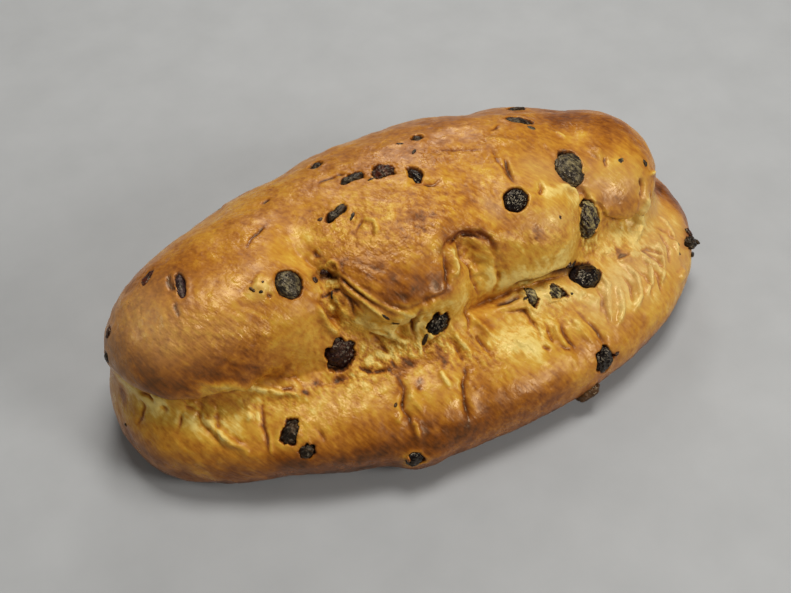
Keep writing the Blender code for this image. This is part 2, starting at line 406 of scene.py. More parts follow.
LOOKS = {
    "raisin_bulge_round": RaisinLook(RaisinKind.GLAZED, 0.98, 0.12, 0.2, 0.6, 0.35, detail=5),
    "raisin_bulge_slit": RaisinLook(RaisinKind.PLUMP, 0.95, 0.15, 0.3, 0.7, 0.3, ((-1, 0, 0), 0.3)),
    "raisin_bulge_rear": RaisinLook(RaisinKind.RED, 0.7, 0.5, 0.2, 0.6, cover=((0, 1, 0), 0.25)),
    "raisin_end_upper": RaisinLook(RaisinKind.RED, 0.8, 0.3, 0.1, 0.7),
    "raisin_fold_left": RaisinLook(RaisinKind.WINE, 1.08, 0.5, 0.2, 0.6, 1.0, detail=5),
    "raisin_fold_middle": RaisinLook(RaisinKind.GLOSSY, 1.05, 0.5, 0.2, 0.3, 0.8, ((-0.5, -1, -0.6), 0.22), 5),
    "raisin_fold_twin_left": RaisinLook(RaisinKind.VEILED, 1.1, 0.7, 0.7, 0.05, cover=((-1, 0, 0), 0.25)),
    "raisin_fold_twin_right": RaisinLook(RaisinKind.VEILED, 1.1, 0.7, 0.7, 0.05, cover=((0, -1, 0), 0.25)),
    "raisin_fold_right": RaisinLook(RaisinKind.GLOSSY, 1.12, 0.14, 0.15, 0.3, 0.45, detail=5, shift=(-5.5, 3.5, 4.5)),
    "raisin_valley_tall": RaisinLook(RaisinKind.VEILED, 1.18, 0.5, 0.5, 0.1, 0.7, ((0.6, -1, 0), 0.15), 5),
    "raisin_top_glossy": RaisinLook(RaisinKind.GLOSSY, 1.0, 0.14, 0.35, 0.3, 0.6, detail=5),
    "raisin_top_flat": RaisinLook(RaisinKind.GLAZED, 1.2, 0.25, 0.1, 0.6, 0.6, ((1, -0.2, 0), 0.22), 5),
    "raisin_crown_long": RaisinLook(RaisinKind.CHARRED, 1.05, 0.6, 0.1, 0.6, cover=((0, 1, 0), 0.3)),
    "raisin_crown_pair_left": RaisinLook(RaisinKind.CHARRED, 1.1, 0.6, 0.1, 0.6),
    "raisin_crown_pair_right": RaisinLook(RaisinKind.RED, 1.1, 0.6, 0.2, 0.6, 0.8, detail=5),
    "raisin_crown_upright": RaisinLook(RaisinKind.GLOSSY, 1.05, 0.4, 0.2, 0.4),
    "raisin_lip_upper": RaisinLook(RaisinKind.CHARRED, 1.05, 0.5, 0.3, 0.2, 0.8, ((1, -0.4, 0), 0.3), 5),
    "raisin_lip_lower": RaisinLook(RaisinKind.CHARRED, 0.95, 0.45, 0.2, 0.7, 0.8),
    "raisin_foot_bump": RaisinLook(RaisinKind.GLOSSY, 1.0, 0.4, 0.4, 0.35, 0.6, ((-1, 0, 0.3), 0.2), 5),
    "raisin_lip_right": RaisinLook(RaisinKind.GLOSSY, 1.05, 0.4, 0.2, 0.55, 0.9, detail=5),
    "raisin_foot_right": RaisinLook(RaisinKind.BROWN, 1.0, 0.3, 0.1, 0.9),
    "raisin_end_stalk": RaisinLook(RaisinKind.CHARRED, 1.0, 0.5, 0.1, 0.7, 1.0),
    "raisin_back_2": RaisinLook(RaisinKind.GLAZED),
    "raisin_back_4": RaisinLook(RaisinKind.RED),
    "raisin_back_6": RaisinLook(RaisinKind.GLOSSY),
    "raisin_back_8": RaisinLook(RaisinKind.PLUMP),
}


@dataclass(frozen=True)
class Bit:
    """A small piece of fruit or peel that sits in the crust.

    The rise is how steeply its length leaves the crust.
    """

    place: tuple
    size: tuple
    kind: RaisinKind
    along: tuple = (1, 0, 0)
    sunk: float = 0.4
    rise: float = 0.0


BITS = (
    Bit((57, -35, 52), (2.2, 1.3, 1.2), RaisinKind.RED),
    Bit((61, -35, 49), (2.6, 1.2, 1.0), RaisinKind.CHARRED),
    Bit((-35, -35, 66), (2.6, 0.9, 0.8), RaisinKind.WINE, (1, -0.6, -1), 0.6),
    Bit((-31, -37, 62), (2.4, 1.1, 0.8), RaisinKind.WINE, (1, -0.6, -1), 0.5),
    Bit((-52, -15, 78), (2.8, 1.3, 1.2), RaisinKind.WINE, (1, -0.6, -0.3)),
    Bit((-55, -14, 79), (1.3, 1.6, 1.0), RaisinKind.WINE),
    Bit((-20, -43, 50), (3.4, 1.1, 1.0), RaisinKind.CHARRED, (-0.6, -0.5, -0.7), 0.2),
    Bit((-54, -20, 73), (1.8, 0.6, 0.6), RaisinKind.CHARRED, (0, -0.7, -1), 0.4),
    Bit((-44, 9, 87), (1.4, 1.0, 0.7), RaisinKind.RED),
    Bit((-31, 4, 88), (2.6, 0.8, 0.6), RaisinKind.CHARRED, (1, 1, 0)),
    Bit((-15, 19, 89), (2.2, 0.8, 0.6), RaisinKind.CHARRED),
    Bit((10, 28, 88), (1.9, 0.9, 0.6), RaisinKind.CHARRED, (1, 1, 0)),
    Bit((7, 36, 87), (2.0, 0.7, 0.6), RaisinKind.RED, (1, -0.6, 0)),
    Bit((112, -9, 70), (2.2, 1.3, 1.0), RaisinKind.CHARRED, (0.3, -1, 0)),
    Bit((99, -7, 76), (2.4, 1.8, 0.8), RaisinKind.GLAZED, sunk=0.7),
    Bit((67, 22, 84), (2.8, 1.4, 0.8), RaisinKind.GLAZED, (1, -1, 0), 0.6),
    Bit((136, -26, 28), (3.2, 1.5, 1.6), RaisinKind.RED, (0.2, -0.6, -1), 0.0),
    Bit((136, -29, 25), (3.6, 1.1, 1.3), RaisinKind.CHARRED, (0.3, -0.6, 0), -1.0, 1.4),
    Bit((134, -36, 23), (3.6, 1.0, 1.0), RaisinKind.CHARRED, (1, -0.3, 0), -0.4),
    Bit((63, -71, 26), (1.8, 1.4, 1.4), RaisinKind.RED),
    Bit((122, -33, 33), (1.2, 0.9, 0.8), RaisinKind.CHARRED),
    Bit((121, -37, 31), (1.0, 0.8, 0.7), RaisinKind.RED),
    Bit((40, -3, 87), (0.9, 2.8, 0.9), RaisinKind.PLUMP, (1, 0, 0), 0.9),
    Bit((-147, -12, 27), (1.0, 1.0, 1.2), RaisinKind.CHARRED),
    Bit((-42, -60, 38), (1.3, 0.8, 0.6), RaisinKind.BROWN, (1, 1, 0)),
    Bit((54, -26, 76), (1.2, 1.2, 0.6), RaisinKind.RED, sunk=0.7),
    Bit((31, -41, 49), (1.6, 0.8, 0.6), RaisinKind.CHARRED, (1, 0.4, 0.3), -0.2),
    Bit((35, -39, 50), (1.3, 0.7, 0.6), RaisinKind.CHARRED, (1, 0, 0), -0.2),
    Bit((43, -43, 47), (1.2, 0.7, 0.6), RaisinKind.CHARRED, (1, 0.5, 0), -0.2),
    Bit((49, -43, 45), (1.5, 0.7, 0.6), RaisinKind.CHARRED, (1, 0, 0.6), -0.2),
    Bit((53, -44, 44), (1.0, 0.6, 0.6), RaisinKind.CHARRED, (1, 0, 0), -0.2),
    Bit((66, -36, 44), (2.2, 1.3, 1.2), RaisinKind.CHARRED, (1, 0.2, -0.5)),
    Bit((-83, -12, 83), (1.6, 0.8, 0.6), RaisinKind.BROWN, (0.4, -1, 0), 0.4),
    Bit((-80, -14, 82), (1.0, 0.7, 0.5), RaisinKind.CHARRED, (1, 0, 0), 0.4),
    Bit((-78, -11, 83), (0.8, 0.6, 0.5), RaisinKind.BROWN, (1, 1, 0), 0.4),
)

# Where the upper dough hangs over the lip, and where ridges of it are drawn out.
DRAGS = (
    Drag(((-136, -17, 62), (-127, -26, 58), (-116, -30, 57), (-100, -33, 57), (-86, -33, 55)), (0, -2.5, -3), 5),
    Drag(((-48, -24, 74), (-40, -31, 70), (-30, -36, 67), (-18, -38, 70), (-8, -37, 73)), (1, -2.5, -2.5), 5),
    Drag(((26, -37, 54), (42, -38, 55), (58, -37, 53), (67, -32, 52)), (0, -2, -2), 5),
    Drag(((80, -18, 66), (94, -22, 58), (106, -19, 56), (115, -14, 58)), (0.5, -2, -2), 5),
)

SHARP, ROUND, OVERLAP = Profile.SHARP, Profile.ROUND, Profile.OVERLAP

# The large creases, from the left end to the right.
FOLDS = (
    Mark(((-146, -2, 50), (-137, -18, 50), (-128, -26, 49), (-118, -30, 49), (-108, -32, 51), (-100, -32, 52)), 5.5, 2.8, SHARP, 0.4),
    Mark(((-104, -33, 50), (-88, -34, 48), (-70, -35, 47), (-60, -37, 46)), 2, 4, SHARP),
    Mark(((-60, 6, 87), (-57, -4, 84), (-54, -12, 80), (-54, -20, 75), (-53, -27, 68), (-54, -33, 56)), 3, 4, SHARP),
    Mark(((-50, -31, 57), (-41, -37, 54), (-29, -41, 56), (-16, -42, 60), (-6, -41, 63)), 1.6, 5, SHARP),
    Mark(((-2, -42, 55), (8, -39, 53), (16, -38, 52), (27, -38, 52), (42, -39, 51), (58, -38, 49), (66, -36, 46)), 6.5, 3.0, SHARP, 0.25, 0.3),
    Mark(((66, 8, 85), (71, -6, 82), (73, -17, 73), (69, -28, 60), (67, -31, 50)), 3.5, 3.5, SHARP),
    Mark(((80, -17, 62), (88, -23, 53), (98, -25, 49), (108, -22, 50), (117, -13, 53)), 3.5, 4, SHARP),
    Mark(((6, -21, 81), (9, -26, 76), (12, -31, 68), (12, -36, 58)), 3, 4),
    Mark(((-37, -31, 74), (-30, -36, 71), (-25, -38, 69), (-18, -38, 71), (-9, -38, 71), (-6, -35, 74)), 1.0, 2.6, OVERLAP, 0.0, 0.3),
    Mark(((-4, -25, 81), (1, -21, 82), (10, -20, 82), (16, -22, 81), (20, -25, 78), (22, -31, 68)), 2.2, 2.4, OVERLAP, 0.0, 0.3),
    Mark(((72, -18, 71), (81, -20, 66), (84, -22, 60), (92, -23, 53), (99, -22, 54), (103, -20, 60)), 1.8, 2.2, OVERLAP),
)

# The finer ones: on the left bulge, in the valley beside it, under the middle bulge, in the arch, on the
# right and its end, on the crown, and along the lip from left to right.
CREASES = (
    Mark(((-111, 11, 84), (-112, 7, 84), (-112, 3, 84), (-112, 0, 84)), 1.8, 1.2, SHARP, 0.6),
    Mark(((-112, -4, 83), (-114, -7, 82), (-114, -11, 81)), 0.7, 0.9, SHARP, 0.5),
    Mark(((-65, 16, 87), (-70, 13, 87), (-74, 12, 87), (-77, 9, 87), (-79, 6, 87)), 0.9, 0.9, SHARP, 0.4),
    Mark(((-82, -8, 85), (-77, -16, 81)), -1.8, 5.8),
    Mark(((-82, -8, 85), (-80, -11, 84), (-79, -13, 83)), 1.2, 0.9, SHARP, 0.52),
    Mark(((-79, -15, 82), (-76, -17, 81)), 1.2, 0.9, SHARP, 0.52),
    Mark(((-62, 31, 84), (-57, 32, 84)), 1.1, 1.0, SHARP, 0.44),
    Mark(((-113, -31, 60), (-101, -33, 55), (-91, -34, 46), (-81, -38, 42), (-75, -41, 42), (-68, -41, 43)), -1.8, 1.7, ROUND, -0.1),
    Mark(((-62, -21, 73), (-59, -24, 69), (-56, -28, 60), (-53, -30, 55)), -1.8, 1.8, ROUND, -0.1),
    Mark(((-58, -20, 72), (-55, -25, 66), (-53, -28, 60)), 2.1, 2.0, SHARP, 0.24),
    Mark(((-53, -19, 75), (-51, -22, 72), (-51, -25, 69), (-50, -28, 63)), -1.7, 1.7),
    Mark(((-54, -17, 76), (-54, -19, 75), (-55, -20, 73), (-52, -20, 74), (-48, -21, 76)), 1.2, 1.0, SHARP, 0.48),
    Mark(((-55, -13, 79), (-51, -16, 78), (-48, -18, 79)), 3.9, 2.4, SHARP, 0.55, 0.4),
    Mark(((-53, -12, 80), (-51, -11, 81), (-48, -11, 82), (-46, -13, 82), (-46, -16, 80)), -1.7, 1.2, ROUND, -0.1, 0.3),
    Mark(((-48, -14, 82), (-47, -14, 82)), 1.6, 0.8, SHARP, 0.6, 0.0),
    Mark(((-52, -2, 83), (-52, -5, 82), (-51, -8, 82)), 1.4, 1.4, SHARP, 0.36),
    Mark(((-47, -16, 80), (-45, -21, 79), (-42, -25, 77), (-40, -29, 75), (-37, -31, 73), (-33, -35, 70), (-24, -39, 65)), -1.2, 1.0, ROUND, -0.2, 0.3),
    Mark(((-48, -17, 80), (-46, -21, 78), (-43, -26, 76), (-40, -30, 74), (-37, -33, 71)), 0.9, 0.7, SHARP, 0.4, 0.3),
    Mark(((-49, -17, 79), (-47, -22, 77), (-44, -27, 74), (-41, -30, 72), (-37, -34, 68), (-33, -36, 63)), -1.1, 0.9, ROUND, -0.15, 0.3),
    Mark(((-50, -21, 75), (-47, -26, 73), (-43, -31, 69)), 0.9, 0.8, SHARP, 0.4, 0.5),
    Mark(((-42, -32, 57), (-37, -35, 54), (-30, -39, 51), (-24, -43, 50)), -1.3, 0.9, ROUND, -0.35, 0.5),
    Mark(((-18, -40, 65), (-21, -39, 62), (-22, -39, 57), (-22, -40, 53)), -1.8, 1.1, ROUND, -0.35, 0.5),
    Mark(((-20, -39, 67), (-23, -39, 64), (-24, -38, 58), (-24, -40, 53)), 1.6, 0.8, SHARP, 0.6, 0.5),
    Mark(((-47, -24, 74), (-46, -28, 69), (-47, -30, 62)), 1.2, 1.4, SHARP, 0.28),
    Mark(((-35, -35, 56), (-31, -37, 52), (-29, -41, 50), (-27, -44, 48)), -1.7, 1.6, ROUND, -0.2),
    Mark(((-42, -33, 57), (-38, -37, 50), (-35, -42, 46)), 1.4, 1.8, SHARP, 0.24),
    Mark(((-17, -40, 66), (-21, -40, 63), (-23, -39, 58), (-22, -39, 54)), 1.6, 1.4, SHARP, 0.36),
    Mark(((-11, -40, 49), (-18, -44, 49), (-23, -46, 47)), 1.7, 1.6, SHARP, 0.44),
    Mark(((-1, -25, 79), (-4, -30, 77), (-6, -35, 74), (-7, -38, 71)), 1.7, 1.4, SHARP, 0.28),
    Mark(((3, -22, 79), (0, -28, 76), (-3, -36, 73)), -2.4, 2.1, ROUND, -0.25),
    Mark(((1, -23, 80), (7, -21, 81), (13, -22, 80), (18, -25, 78)), 1.2, 0.9, SHARP, 0.5, 0.3),
    Mark(((5, -21, 79), (7, -24, 76), (9, -28, 71), (10, -32, 66), (11, -35, 52)), 2.4, 1.5, SHARP, 0.4),
    Mark(((21, -31, 68), (21, -34, 59), (19, -38, 50)), 1.9, 1.8, SHARP, 0.32),
    Mark(((17, -38, 50), (25, -38, 51), (30, -38, 52), (37, -39, 52), (44, -39, 52), (51, -39, 51), (59, -36, 49), (66, -33, 46)), 3.0, 1.5, SHARP, 0.7, 0.2),
    Mark(((20, -42, 47), (25, -43, 47), (29, -44, 46), (31, -50, 42), (31, -55, 41), (31, -59, 40)), 2.2, 2.1, OVERLAP, 0.28),
    Mark(((54, -42, 47), (60, -46, 42), (66, -53, 39)), -2.0, 4.6),
    Mark(((56, -44, 44), (61, -48, 41), (65, -50, 40)), 1.1, 1.0, SHARP, 0.4),
    Mark(((58, -39, 47), (64, -40, 43), (71, -38, 36), (71, -48, 40), (69, -53, 38), (66, -58, 37)), -1.6, 1.6, ROUND, -0.15),
    Mark(((5, -36, 56), (3, -41, 51), (0, -46, 46)), 1.6, 1.4, SHARP, 0.32),
    Mark(((3, -47, 46), (4, -51, 43), (6, -58, 40)), 1.6, 1.5, SHARP, 0.28),
    Mark(((44, 6, 88), (42, 1, 88), (41, -5, 87)), 2.6, 0.9, SHARP, 0.8, 0.4),
    Mark(((42, 14, 88), (41, 8, 88), (40, -4, 87), (41, -10, 86)), 0.8, 1.0, SHARP, 0.2),
    Mark(((52, -11, 86), (52, -14, 85), (49, -17, 84)), 2.1, 1.5, SHARP, 0.4),
    Mark(((60, -13, 82), (68, -14, 76), (70, -18, 72), (70, -21, 69)), -1.7, 2.0, ROUND, -0.1),
    Mark(((71, -12, 76), (73, -15, 73), (73, -19, 70)), 2.3, 1.6, SHARP, 0.48),
    Mark(((68, -8, 79), (67, -4, 80), (66, -2, 81)), 1.9, 1.4, SHARP, 0.6),
    Mark(((93, -3, 78), (91, -5, 77), (90, -8, 75)), 1.4, 1.0, SHARP, 0.44),
    Mark(((87, -1, 78), (92, 2, 79)), -1.3, 2.5),
    Mark(((106, -14, 68), (106, -17, 65), (104, -20, 61)), 2.7, 1.6, SHARP, 0.44),
    Mark(((112, -13, 66), (119, -9, 62)), -1.2, 1.1, ROUND, -0.25),
    Mark(((107, -18, 61), (107, -20, 54), (105, -20, 50), (105, -21, 44), (101, -25, 41), (96, -30, 40)), -3.6, 2.2, ROUND, -0.5, 0.4),
    Mark(((99, -33, 39), (104, -32, 38), (108, -35, 37), (110, -39, 36)), 2.2, 1.0, SHARP, 0.6, 0.3),
    Mark(((85, -34, 41), (88, -33, 41), (92, -33, 40)), 1.8, 1.0, SHARP, 0.6, 0.3),
    Mark(((61, -42, 43), (66, -44, 41), (66, -51, 40), (62, -57, 38)), 1.6, 1.1, SHARP, 0.4, 0.4),
    Mark(((-44, -32, 62), (-36, -37, 58), (-28, -41, 56)), -1.5, 5),
    Mark(((111, -17, 60), (111, -19, 52), (109, -20, 44)), 1.8, 1.3, SHARP, 0.4, 0.5),
    Mark(((73, -13, 75), (74, -16, 72), (75, -18, 65), (72, -24, 58), (69, -29, 50)), 2.6, 1.2, SHARP, 0.6, 0.3),
    Mark(((84, -35, 41), (93, -34, 40), (99, -33, 39)), -1.8, 3.0, ROUND, -0.2),
    Mark(((40, 22, 88), (45, 19, 88), (51, 15, 87), (61, 13, 85), (68, 11, 84)), -1.4, 2.5),
    Mark(((16, 24, 88), (29, 21, 88), (41, 14, 88)), 1.1, 2.1, SHARP, 0.12),
    Mark(((-38, 28, 87), (-35, 30, 87), (-27, 31, 88), (-21, 28, 88)), 1.4, 1.4, SHARP, 0.44),
    Mark(((-3, 10, 90), (2, 6, 90), (8, 5, 90), (13, 6, 89)), 1.4, 1.4, SHARP, 0.32),
    Mark(((-4, 14, 90), (6, 5, 90), (23, 1, 87)), 1.0, 2.8, SHARP),
    Mark(((-33, -4, 87), (-29, 0, 88)), 1.1, 1.0, SHARP, 0.36),
    Mark(((-29, 1, 88), (-25, -3, 88), (-25, -7, 88), (-28, -10, 87)), -1.0, 1.1, ROUND, -0.1),
    Mark(((78, 18, 81), (80, 12, 81)), -1.0, 1.1, ROUND, -0.2),
    Mark(((46, 25, 88), (50, 26, 88), (54, 28, 87)), 1.0, 1.0, SHARP, 0.36),
    Mark(((-84, 62, 40), (-62, 70, 38), (-44, 74, 39), (-30, 75, 41)), 2.2, 2.0, OVERLAP, 0.35),
    Mark(((-20, 77, 36), (4, 78, 34), (26, 76, 36)), 2.0, 1.8, SHARP, 0.4),
    Mark(((52, 70, 38), (72, 60, 40), (90, 50, 40), (104, 38, 42)), 2.4, 2.0, OVERLAP, 0.35),
    Mark(((-52, 73, 36), (-54, 76, 26), (-50, 76, 18)), 1.6, 1.5, SHARP, 0.4),
    Mark(((-4, 77, 34), (-2, 79, 26), (-6, 79, 16)), 1.8, 1.5, SHARP, 0.4),
    Mark(((8, 77, 35), (12, 79, 28), (11, 79, 20)), -1.6, 2.0, ROUND, -0.2),
    Mark(((60, 66, 34), (66, 68, 24), (64, 68, 16)), 1.6, 1.5, SHARP, 0.4),
    Mark(((-108, 48, 44), (-112, 50, 32), (-108, 54, 22)), 1.6, 1.7, SHARP, 0.3),
    Mark(((100, 40, 36), (108, 40, 26)), -1.8, 2.4, ROUND, -0.2),
    Mark(((-30, 62, 72), (-12, 64, 70), (2, 60, 74)), 1.4, 1.3, SHARP, 0.4),
    Mark(((34, 60, 72), (46, 62, 66), (50, 64, 58)), 1.4, 1.3, SHARP, 0.4),
    Mark(((-74, 52, 72), (-78, 56, 64)), 1.3, 1.2, SHARP, 0.4),
    Mark(((-138, -13, 47), (-135, -16, 46), (-134, -19, 44)), 1.7, 1.4, SHARP, 0.44),
    Mark(((-138, -13, 43), (-137, -17, 40), (-140, -18, 36), (-143, -18, 32)), 1.1, 1.5, SHARP, 0.28),
    Mark(((-132, -20, 43), (-129, -24, 42)), 1.2, 1.4, SHARP, 0.28),
    Mark(((-124, -27, 43), (-126, -29, 40), (-129, -32, 37)), 1.0, 1.1, SHARP, 0.2),
    Mark(((-124, -27, 52), (-122, -28, 44), (-119, -30, 42), (-118, -35, 39), (-116, -40, 36), (-113, -45, 32)), 1.8, 2.0, SHARP, 0.2),
    Mark(((-119, -29, 45), (-116, -34, 41), (-113, -41, 36), (-108, -47, 32), (-102, -52, 29)), -1.7, 2.1, ROUND, -0.1),
    Mark(((-118, -28, 48), (-116, -31, 42), (-113, -37, 38), (-110, -42, 35), (-103, -50, 30)), 1.8, 1.8, SHARP, 0.28),
    Mark(((-111, -33, 42), (-112, -36, 40), (-114, -39, 38)), 1.4, 1.6, SHARP, 0.24),
    Mark(((-92, -36, 42), (-94, -41, 39), (-96, -44, 37), (-96, -48, 35), (-97, -55, 30)), 1.4, 1.4, SHARP, 0.32),
    Mark(((-95, -47, 36), (-96, -52, 33), (-96, -56, 29)), -1.2, 1.1, ROUND, -0.15),
    Mark(((-98, -34, 42), (-99, -38, 40), (-101, -42, 38)), -1.2, 1.4, ROUND, -0.15),
    Mark(((-77, -52, 37), (-75, -61, 33)), 0.9, 1.4, SHARP, 0.16),
    Mark(((-50, -39, 45), (-47, -42, 44), (-45, -44, 44), (-37, -47, 43)), 1.7, 1.5, SHARP, 0.44),
    Mark(((-68, -41, 43), (-59, -41, 43), (-50, -43, 44)), 1.4, 1.7, SHARP, 0.2),
    Mark(((-35, -50, 43), (-36, -56, 41), (-38, -60, 39), (-40, -63, 37), (-39, -67, 35), (-39, -70, 33)), 2.2, 1.7, SHARP, 0.36),
    Mark(((-39, -66, 35), (-37, -70, 33), (-37, -73, 31), (-38, -76, 27)), -1.6, 1.4, ROUND, -0.25),
    Mark(((-40, -63, 37), (-43, -66, 35), (-42, -68, 34)), -1.3, 1.3, ROUND, -0.2),
    Mark(((-33, -55, 41), (-34, -62, 38), (-33, -68, 35)), -1.2, 1.8),
    Mark(((-18, -54, 42), (-18, -59, 40), (-17, -64, 39)), -1.4, 1.5, ROUND, -0.25),
    Mark(((-6, -54, 41), (-11, -64, 38), (-14, -71, 34), (-16, -77, 28)), 1.9, 2.0, SHARP, 0.32),
    Mark(((-6, -44, 50), (-4, -48, 45), (-3, -52, 42), (-3, -58, 40)), -1.7, 1.6, ROUND, -0.15),
    Mark(((-9, -45, 48), (-7, -50, 43), (-6, -55, 41)), 1.4, 1.4, SHARP, 0.24),
    Mark(((3, -41, 51), (8, -46, 45), (10, -52, 42)), -1.3, 1.7),
    Mark(((15, -58, 41), (23, -56, 41), (30, -58, 40)), -1.8, 4.0, ROUND, -0.05),
    Mark(((36, -51, 42), (35, -56, 40), (34, -62, 38)), 1.6, 1.4, SHARP, 0.32),
    Mark(((43, -52, 41), (42, -59, 39), (42, -63, 37), (43, -67, 35)), 1.4, 1.4, SHARP, 0.32),
    Mark(((40, -52, 41), (39, -60, 38), (39, -67, 34)), -1.2, 1.6),
    Mark(((28, -60, 39), (30, -62, 39), (32, -64, 38)), 1.2, 1.1, SHARP, 0.32),
    Mark(((38, -63, 38), (39, -65, 36), (41, -67, 35)), 1.2, 1.1, SHARP, 0.32),
    Mark(((48, -51, 41), (50, -60, 38), (52, -67, 33)), -1.3, 1.7),
    Mark(((52, -52, 41), (54, -57, 39), (57, -62, 36), (58, -66, 34), (57, -69, 31)), 1.6, 1.5, SHARP, 0.4),
    Mark(((66, -48, 40), (65, -56, 38), (63, -64, 34)), 1.0, 1.6, SHARP, 0.2),
    Mark(((73, -43, 37), (67, -56, 38), (60, -67, 33)), -1.3, 2.3),
    Mark(((96, -33, 39), (102, -33, 38), (105, -37, 37), (106, -41, 35), (106, -48, 32)), 1.6, 1.5, SHARP, 0.4),
    Mark(((96, -38, 39), (100, -41, 37), (101, -47, 34), (99, -54, 30)), 1.4, 1.4, SHARP, 0.28),
    Mark(((90, -40, 39), (94, -45, 37), (94, -51, 34), (92, -56, 32)), 1.1, 1.5, SHARP, 0.24),
    Mark(((99, -37, 39), (103, -41, 36), (103, -49, 33)), -1.3, 1.5),
    Mark(((113, -21, 40), (121, -25, 35), (123, -34, 31)), 1.2, 1.7, SHARP, 0.24),
    Mark(((111, -29, 37), (109, -37, 36), (105, -45, 34), (97, -52, 33)), -2.0, 1.3, ROUND, -0.15, 0.5),
    Mark(((99, -33, 39), (99, -41, 37), (95, -49, 35), (88, -55, 34)), -2.1, 1.3, ROUND, -0.15, 0.5),
    Mark(((88, -36, 40), (89, -44, 38), (86, -53, 35), (79, -59, 34)), -2.1, 1.5, ROUND, -0.15, 0.5),
    Mark(((83, -41, 39), (84, -48, 37), (80, -56, 35)), 2.0, 1.1, SHARP, 0.4, 0.5),
    Mark(((77, -42, 38), (76, -51, 38), (73, -58, 36), (66, -64, 34)), -2.0, 1.6, ROUND, -0.1, 0.5),
    Mark(((124, -22, 35), (122, -30, 33), (118, -39, 31)), -1.9, 1.3, ROUND, -0.1, 0.5),
    Mark(((116, -24, 38), (116, -33, 35), (111, -42, 33)), 1.8, 1.1, SHARP, 0.4, 0.5),
    Mark(((121, -16, 38), (122, -19, 36), (123, -23, 35)), -1.4, 1.3, ROUND, -0.3),
    Mark(((116, -44, 29), (118, -47, 25)), -1.8, 3.4),
)

# Patches of stretched, streaky crust.
PATCHES = (
    Streaks((-103, -26, 70), 20, (1, -0.45, -0.8), 1.6, 0.15, 0.07, 1.0),
    Streaks((-124, -5, 79), 20, (0.3, -1, -0.5), 2.4, 0.17, 0.05, 2.0),
    Streaks((-80, -20, 76), 14, (1, -0.6, -0.6), 1.6, 0.15, 0.04, 9.0),
    Streaks((-30, -26, 77), 18, (1, -0.7, -0.6), 1.8, 0.21, 0.09, 3.0),
    Streaks((-70, -36, 50), 16, (0.2, -1, -1), 1.8, 0.24, 0.04, 4.0),
    Streaks((-20, -44, 55), 16, (0.4, -1, -1), 2.0, 0.32, 0.06, 5.0),
    Streaks((30, -38, 60), 18, (0.3, -1, -1), 2.0, 0.21, 0.04, 6.0),
    Streaks((92, -28, 46), 16, (0.8, -1, -0.2), 2.0, 0.28, 0.04, 7.0),
    Streaks((-52, -24, 70), 12, (0.2, -1, -1), 1.8, 0.32, 0.06, 8.0),
    Streaks((-60, -58, 39), 22, (0.1, -1, -0.5), 1.8, 0.14, 0.05, 10.0),
    Streaks((-5, -56, 41), 20, (0.2, -1, -0.5), 2.0, 0.24, 0.06, 11.0),
    Streaks((40, -58, 39), 20, (0.1, -1, -0.4), 2.2, 0.28, 0.06, 12.0),
    Streaks((100, -40, 37), 18, (0.2, -1, -0.3), 2.2, 0.21, 0.05, 13.0),
    Streaks((-118, -38, 38), 18, (0.3, -1, -0.7), 2.2, 0.21, 0.04, 14.0),
    Streaks((-10, 2, 89), 30, (1, -0.7, 0), 2.6, 0.14, 0.05, 15.0),
    Streaks((30, 14, 88), 24, (1, -0.3, 0), 2.6, 0.14, 0.04, 16.0),
)
